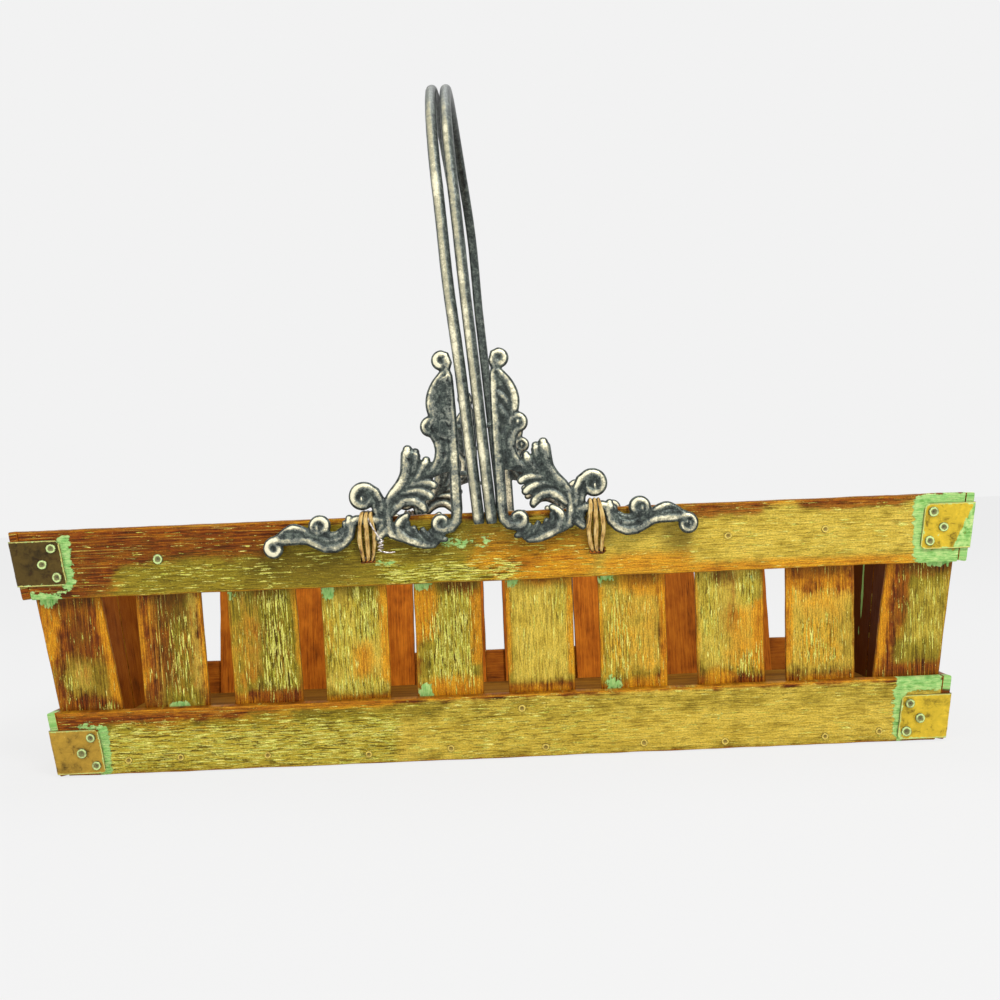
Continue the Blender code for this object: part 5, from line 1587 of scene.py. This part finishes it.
def drop_specks(mesh):
    """Keep only what joins the highest point of a mesh."""
    bm = bmesh.new()
    bm.from_mesh(mesh)
    reached = {max(bm.verts, key=lambda vert: vert.co.z)}
    edge_of_reach = list(reached)
    while edge_of_reach:
        vert = edge_of_reach.pop()
        near = {edge.other_vert(vert) for edge in vert.link_edges} - reached
        reached |= near
        edge_of_reach.extend(near)
    specks = [vert for vert in bm.verts if vert not in reached]
    bmesh.ops.delete(bm, geom=specks, context="VERTS")
    bm.to_mesh(mesh)
    bm.free()


def back_shift(wall):
    """Sideways shift of what stands at the back, where the turned handle meets the rim."""
    return 2 * handle_radius() * math.tan(HANDLE_TWIST) if wall == "back" else 0.0


def make_brackets():
    """Four castings from two patterns."""
    for hand in HANDS:
        pattern = scroll_mesh(hand)
        paint(pattern, "crest", rubbed_share(pattern))
        for wall in LONG_WALLS:
            side = -1 if hand == "left" else 1
            plane = -BRACKET_PLANE if wall == "front" else BRACKET_PLANE
            place = Vector((BRACKET_X[hand] + back_shift(wall), plane, sizes().height))
            lean = Matrix.Rotation(-BRACKET_LEAN, 4, "Y")
            matrix = Matrix.Translation(place) @ lean @ Matrix.Diagonal((side, 1, 1, 1))
            mesh = pattern.copy()
            mesh.name = f"{wall}_{hand}_scroll"
            mesh.transform(matrix)
            if side < 0:
                mesh.flip_normals()
            # Painted highlight on the crests and faces that look up and left.
            paint_crest_highlight(mesh)
            mesh.shade_smooth()
            mesh.materials.append(material("casting"))
            piece = new_object(f"{wall}_{hand}_scroll", mesh)
            place_piece(piece, [f"{wall}_{hand}_bracket"])
        bpy.data.meshes.remove(pattern)


# Lashings

CANE_SWELL, WIRE_SWELL = 0.28 * MM, 0.10 * MM
CANE_WAVE, CANE_GRAIN = 0.60 * MM, 0.10 * MM


def tie_places(wall):
    """Places along a long wall where its two ties pass through."""
    return [-72.9 * MM + back_shift(wall), 60.2 * MM + back_shift(wall)]


def wound_copy(node, name, swell, finish):
    """Rounder copy of a wound solid: merged, turned to quads, swollen and subdivided."""
    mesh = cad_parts[node].data.copy()
    mesh.name = name
    mesh.materials.clear()
    piece = new_object(name, mesh)
    take(piece)
    bpy.ops.object.mode_set(mode="EDIT")
    bpy.ops.mesh.select_all(action="SELECT")
    bpy.ops.mesh.remove_doubles(threshold=0.00001)
    bpy.ops.mesh.tris_convert_to_quads()
    bpy.ops.transform.shrink_fatten(value=swell)
    bpy.ops.object.mode_set(mode="OBJECT")
    finer = piece.modifiers.new("finer", "SUBSURF")
    finer.levels = 2
    finer.render_levels = 2
    apply_modifiers(piece)
    mesh = piece.data
    mesh.shade_smooth()
    mesh.materials.append(material(finish))
    place_piece(piece, [node])
    return piece


def make_ties():
    """The four cane windings, wider in the middle than at their ends, and the wire."""
    for wall in LONG_WALLS:
        out = wall_axes(wall)[1].y
        for hand in HANDS:
            name = f"{wall}_{hand}"
            mesh = wound_copy(name + "_tie", name + "_cane", CANE_SWELL, "cane").data
            middle = sum(vertex.co.x for vertex in mesh.vertices) / len(mesh.vertices)
            low = min(vertex.co.z for vertex in mesh.vertices)
            high = max(vertex.co.z for vertex in mesh.vertices)
            depth = []
            for vertex in mesh.vertices:
                co = vertex.co
                push = noise.noise(Vector((co.x * 900, co.y * 900, co.z * 70)))
                # How squarely the cane faces out; the cane finish paints shade where this is low.
                depth.append(ease(vertex.normal.y * out, 0.15, 0.92))
                rise = (co.z - low) / (high - low)
                spread = 0.90 + 0.28 * math.sin(math.pi * min(1.0, max(0.0, rise))) ** 1.2
                wave = CANE_WAVE * noise.noise(Vector((co.x * 500, co.z * 90, out)))
                co = co + vertex.normal * CANE_GRAIN * push
                co.x = middle + (co.x - middle) * spread + wave
                vertex.co = co
            paint(mesh, "depth", depth)
    wound_copy("front_left_wire", "front_left_binding", WIRE_SWELL, "wire")


def dress_kept_nodes():
    """Finishes for the solids that stay as they are."""
    for name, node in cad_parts.items():
        finish = "rod_metal" if name.endswith("_pin") else None
        if name == "base_board":
            finish = "board_wood"
        if finish:
            node.data.materials.clear()
            node.data.materials.append(material(finish))


# Stage

FLOOR_SIZE, FLOOR_DROP = 60.0, 0.4 * MM
FLOOR_GLOW = 0.90
WORLD_LIGHT = 0.48
# Lamps: place, target, size and power
LAMPS = {
    "key_lamp": ((0.7, -1.3, 1.5), (0.03, 0, 0.15), 0.5, 22.5),
    "fill_lamp": ((-1.3, -1.3, 0.9), (0, 0, 0.15), 1.2, 7.0),
    "top_lamp": ((0.1, 0.5, 1.9), (0, 0, 0.1), 1.0, 8.0),
}
CAMERA_YAW, CAMERA_PITCH, CAMERA_ROLL = 0.102, 0.6546, 2.404  # In degrees
CAMERA_PLACE = (0.00395, -0.702, 0.14597)
CAMERA_LENS, CAMERA_SENSOR = 37.51, 36.0


def light_path_share(nodes, links):
    """1 for camera, glossy and transmission rays."""
    rays = nodes.new("ShaderNodeLightPath")
    share = rays.outputs["Is Camera Ray"]
    for name in ("Is Glossy Ray", "Is Transmission Ray"):
        both = nodes.new("ShaderNodeMath")
        both.operation = "ADD"
        both.use_clamp = True
        links.new(share, both.inputs[0])
        links.new(rays.outputs[name], both.inputs[1])
        share = both.outputs[0]
    return share


def coloured(nodes, kind, shade, strength=None):
    """New shader node with its colour and strength."""
    node = nodes.new(kind)
    node.inputs["Color"].default_value = shade
    if strength is not None:
        node.inputs["Strength"].default_value = strength
    return node


def link_mix(nodes, links, share, plain, seen, output):
    """Show one shader in the share of rays that see it, and another in the rest."""
    mix = nodes.new("ShaderNodeMixShader")
    links.new(share, mix.inputs["Fac"])
    links.new(plain.outputs[0], mix.inputs[1])
    links.new(seen.outputs[0], mix.inputs[2])
    links.new(mix.outputs[0], output.inputs["Surface"])


def floor_finish():
    """Pale floor that shows as the surroundings do, but keeps the basket's shadow."""
    floor = bpy.data.materials.new("pale_floor")
    floor.use_nodes = True
    nodes, links = floor.node_tree.nodes, floor.node_tree.links
    nodes.clear()
    output = nodes.new("ShaderNodeOutputMaterial")
    plain = coloured(nodes, "ShaderNodeBsdfDiffuse", colour("backdrop"))
    glow = coloured(nodes, "ShaderNodeEmission", colour("backdrop"), 1.0)
    share = nodes.new("ShaderNodeMath")
    share.operation = "MULTIPLY"
    share.inputs[1].default_value = FLOOR_GLOW
    links.new(light_path_share(nodes, links), share.inputs[0])
    link_mix(nodes, links, share.outputs[0], plain, glow, output)
    return floor


def set_world():
    """Even surroundings: plain to the lamps' level, pale to the camera."""
    world = bpy.data.worlds.new("surroundings")
    bpy.context.scene.world = world
    world.use_nodes = True
    nodes, links = world.node_tree.nodes, world.node_tree.links
    nodes.clear()
    output = nodes.new("ShaderNodeOutputWorld")
    soft = coloured(nodes, "ShaderNodeBackground", (1.0, 1.0, 1.0, 1.0), WORLD_LIGHT)
    seen = coloured(nodes, "ShaderNodeBackground", colour("backdrop"), 1.0)
    link_mix(nodes, links, light_path_share(nodes, links), soft, seen, output)


def add_lamp(name, place, target, size, power):
    """Soft square lamp that faces a target."""
    data = bpy.data.lights.new(name, "AREA")
    data.size = size
    data.energy = power
    lamp = new_object(name, data)
    direction = Vector(target) - Vector(place)
    turn = direction.to_track_quat("-Z", "Y").to_matrix().to_4x4()
    lamp.matrix_world = Matrix.Translation(place) @ turn


def add_camera():
    """Camera where the photograph was taken: level with the rim, a little rolled."""
    yaw, pitch = math.radians(CAMERA_YAW), math.radians(CAMERA_PITCH)
    roll = math.radians(CAMERA_ROLL)
    right = Vector((math.cos(yaw), -math.sin(yaw), 0))
    ahead = Vector((math.sin(yaw), math.cos(yaw), 0))
    up = Vector((0, 0, math.cos(pitch))) - ahead * math.sin(pitch)
    view = ahead * math.cos(pitch) + Vector((0, 0, math.sin(pitch)))
    x_axis = right * math.cos(roll) - up * math.sin(roll)
    y_axis = right * math.sin(roll) + up * math.cos(roll)
    data = bpy.data.cameras.new("camera")
    data.lens = CAMERA_LENS
    data.sensor_width = CAMERA_SENSOR
    data.clip_start = 0.01
    data.clip_end = 100.0
    camera = new_object("camera", data)
    turn = Matrix((x_axis, y_axis, -view)).transposed().to_4x4()
    camera.matrix_world = Matrix.Translation(CAMERA_PLACE) @ turn
    bpy.context.scene.camera = camera


def make_stage():
    """Floor, surroundings, lamps and camera."""
    deselect()
    bpy.ops.mesh.primitive_grid_add(x_subdivisions=4, y_subdivisions=4, size=FLOOR_SIZE)
    floor = bpy.context.object
    floor.name = "pale_floor"
    floor.location = (0, 0, -FLOOR_DROP)
    apply_place(floor)
    floor.data.materials.append(floor_finish())
    set_world()
    for name, lamp in LAMPS.items():
        add_lamp(name, *lamp)
    add_camera()
    bpy.context.scene.view_settings.view_transform = "Standard"


# Operators and panel


class BASKET_OT_rails(Operator):
    """Add the bottom and top rails"""

    bl_idname = "basket.rails"
    bl_label = "Rails"

    def execute(self, context):
        make_rails()
        return {"FINISHED"}


class BASKET_OT_slats(Operator):
    """Add the slats of the four walls"""

    bl_idname = "basket.slats"
    bl_label = "Slats"

    def execute(self, context):
        make_slats()
        return {"FINISHED"}


class BASKET_OT_plates(Operator):
    """Add the corner plates"""

    bl_idname = "basket.plates"
    bl_label = "Corner plates"

    def execute(self, context):
        make_plates()
        return {"FINISHED"}


class BASKET_OT_nails(Operator):
    """Add the nail heads"""

    bl_idname = "basket.nails"
    bl_label = "Nails"

    def execute(self, context):
        make_nails()
        return {"FINISHED"}


class BASKET_OT_rods(Operator):
    """Add the handle's rods"""

    bl_idname = "basket.rods"
    bl_label = "Handle rods"

    def execute(self, context):
        make_rods()
        return {"FINISHED"}


class BASKET_OT_brackets(Operator):
    """Add the cast scroll brackets"""

    bl_idname = "basket.brackets"
    bl_label = "Scroll brackets"

    def execute(self, context):
        make_brackets()
        return {"FINISHED"}


class BASKET_OT_ties(Operator):
    """Add the cane ties and the binding wire"""

    bl_idname = "basket.ties"
    bl_label = "Cane ties"

    def execute(self, context):
        make_ties()
        return {"FINISHED"}


class BASKET_OT_board(Operator):
    """Finish the base board and the pins"""

    bl_idname = "basket.board"
    bl_label = "Base board and pins"

    def execute(self, context):
        dress_kept_nodes()
        return {"FINISHED"}


class BASKET_OT_stage(Operator):
    """Add the floor, the lamps and the camera"""

    bl_idname = "basket.stage"
    bl_label = "Stage"

    def execute(self, context):
        make_stage()
        return {"FINISHED"}


OPERATORS = (BASKET_OT_rails, BASKET_OT_slats, BASKET_OT_plates, BASKET_OT_nails,
             BASKET_OT_rods, BASKET_OT_brackets, BASKET_OT_ties, BASKET_OT_board,
             BASKET_OT_stage)


class BASKET_PT_panel(Panel):
    """Lists the basket's pieces"""

    bl_idname = "BASKET_PT_panel"
    bl_label = "Slat Basket"
    bl_space_type = "VIEW_3D"
    bl_region_type = "UI"
    bl_category = "Basket"

    def draw(self, context):
        for operator in OPERATORS:
            self.layout.operator(operator.bl_idname)


CLASSES = (BasketSizes, BasketColours, *OPERATORS, BASKET_PT_panel)


def register():
    """Register the classes and attach the settings to the scene."""
    for item in CLASSES:
        bpy.utils.register_class(item)
    bpy.types.Scene.basket_sizes = PointerProperty(type=BasketSizes)
    bpy.types.Scene.basket_colours = PointerProperty(type=BasketColours)


def unregister():
    """Undo register."""
    del bpy.types.Scene.basket_colours
    del bpy.types.Scene.basket_sizes
    for item in reversed(CLASSES):
        bpy.utils.unregister_class(item)


def clear_startup():
    """Remove what the startup scene brings along."""
    for name in ("Cube", "Light", "Camera"):
        found = bpy.data.objects.get(name)
        if found is not None:
            bpy.data.objects.remove(found)


def main():
    """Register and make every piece."""
    register()
    clear_startup()
    for operator in OPERATORS:
        group, name = operator.bl_idname.split(".")
        getattr(getattr(bpy.ops, group), name)()


if __name__ == "__main__":
    main()
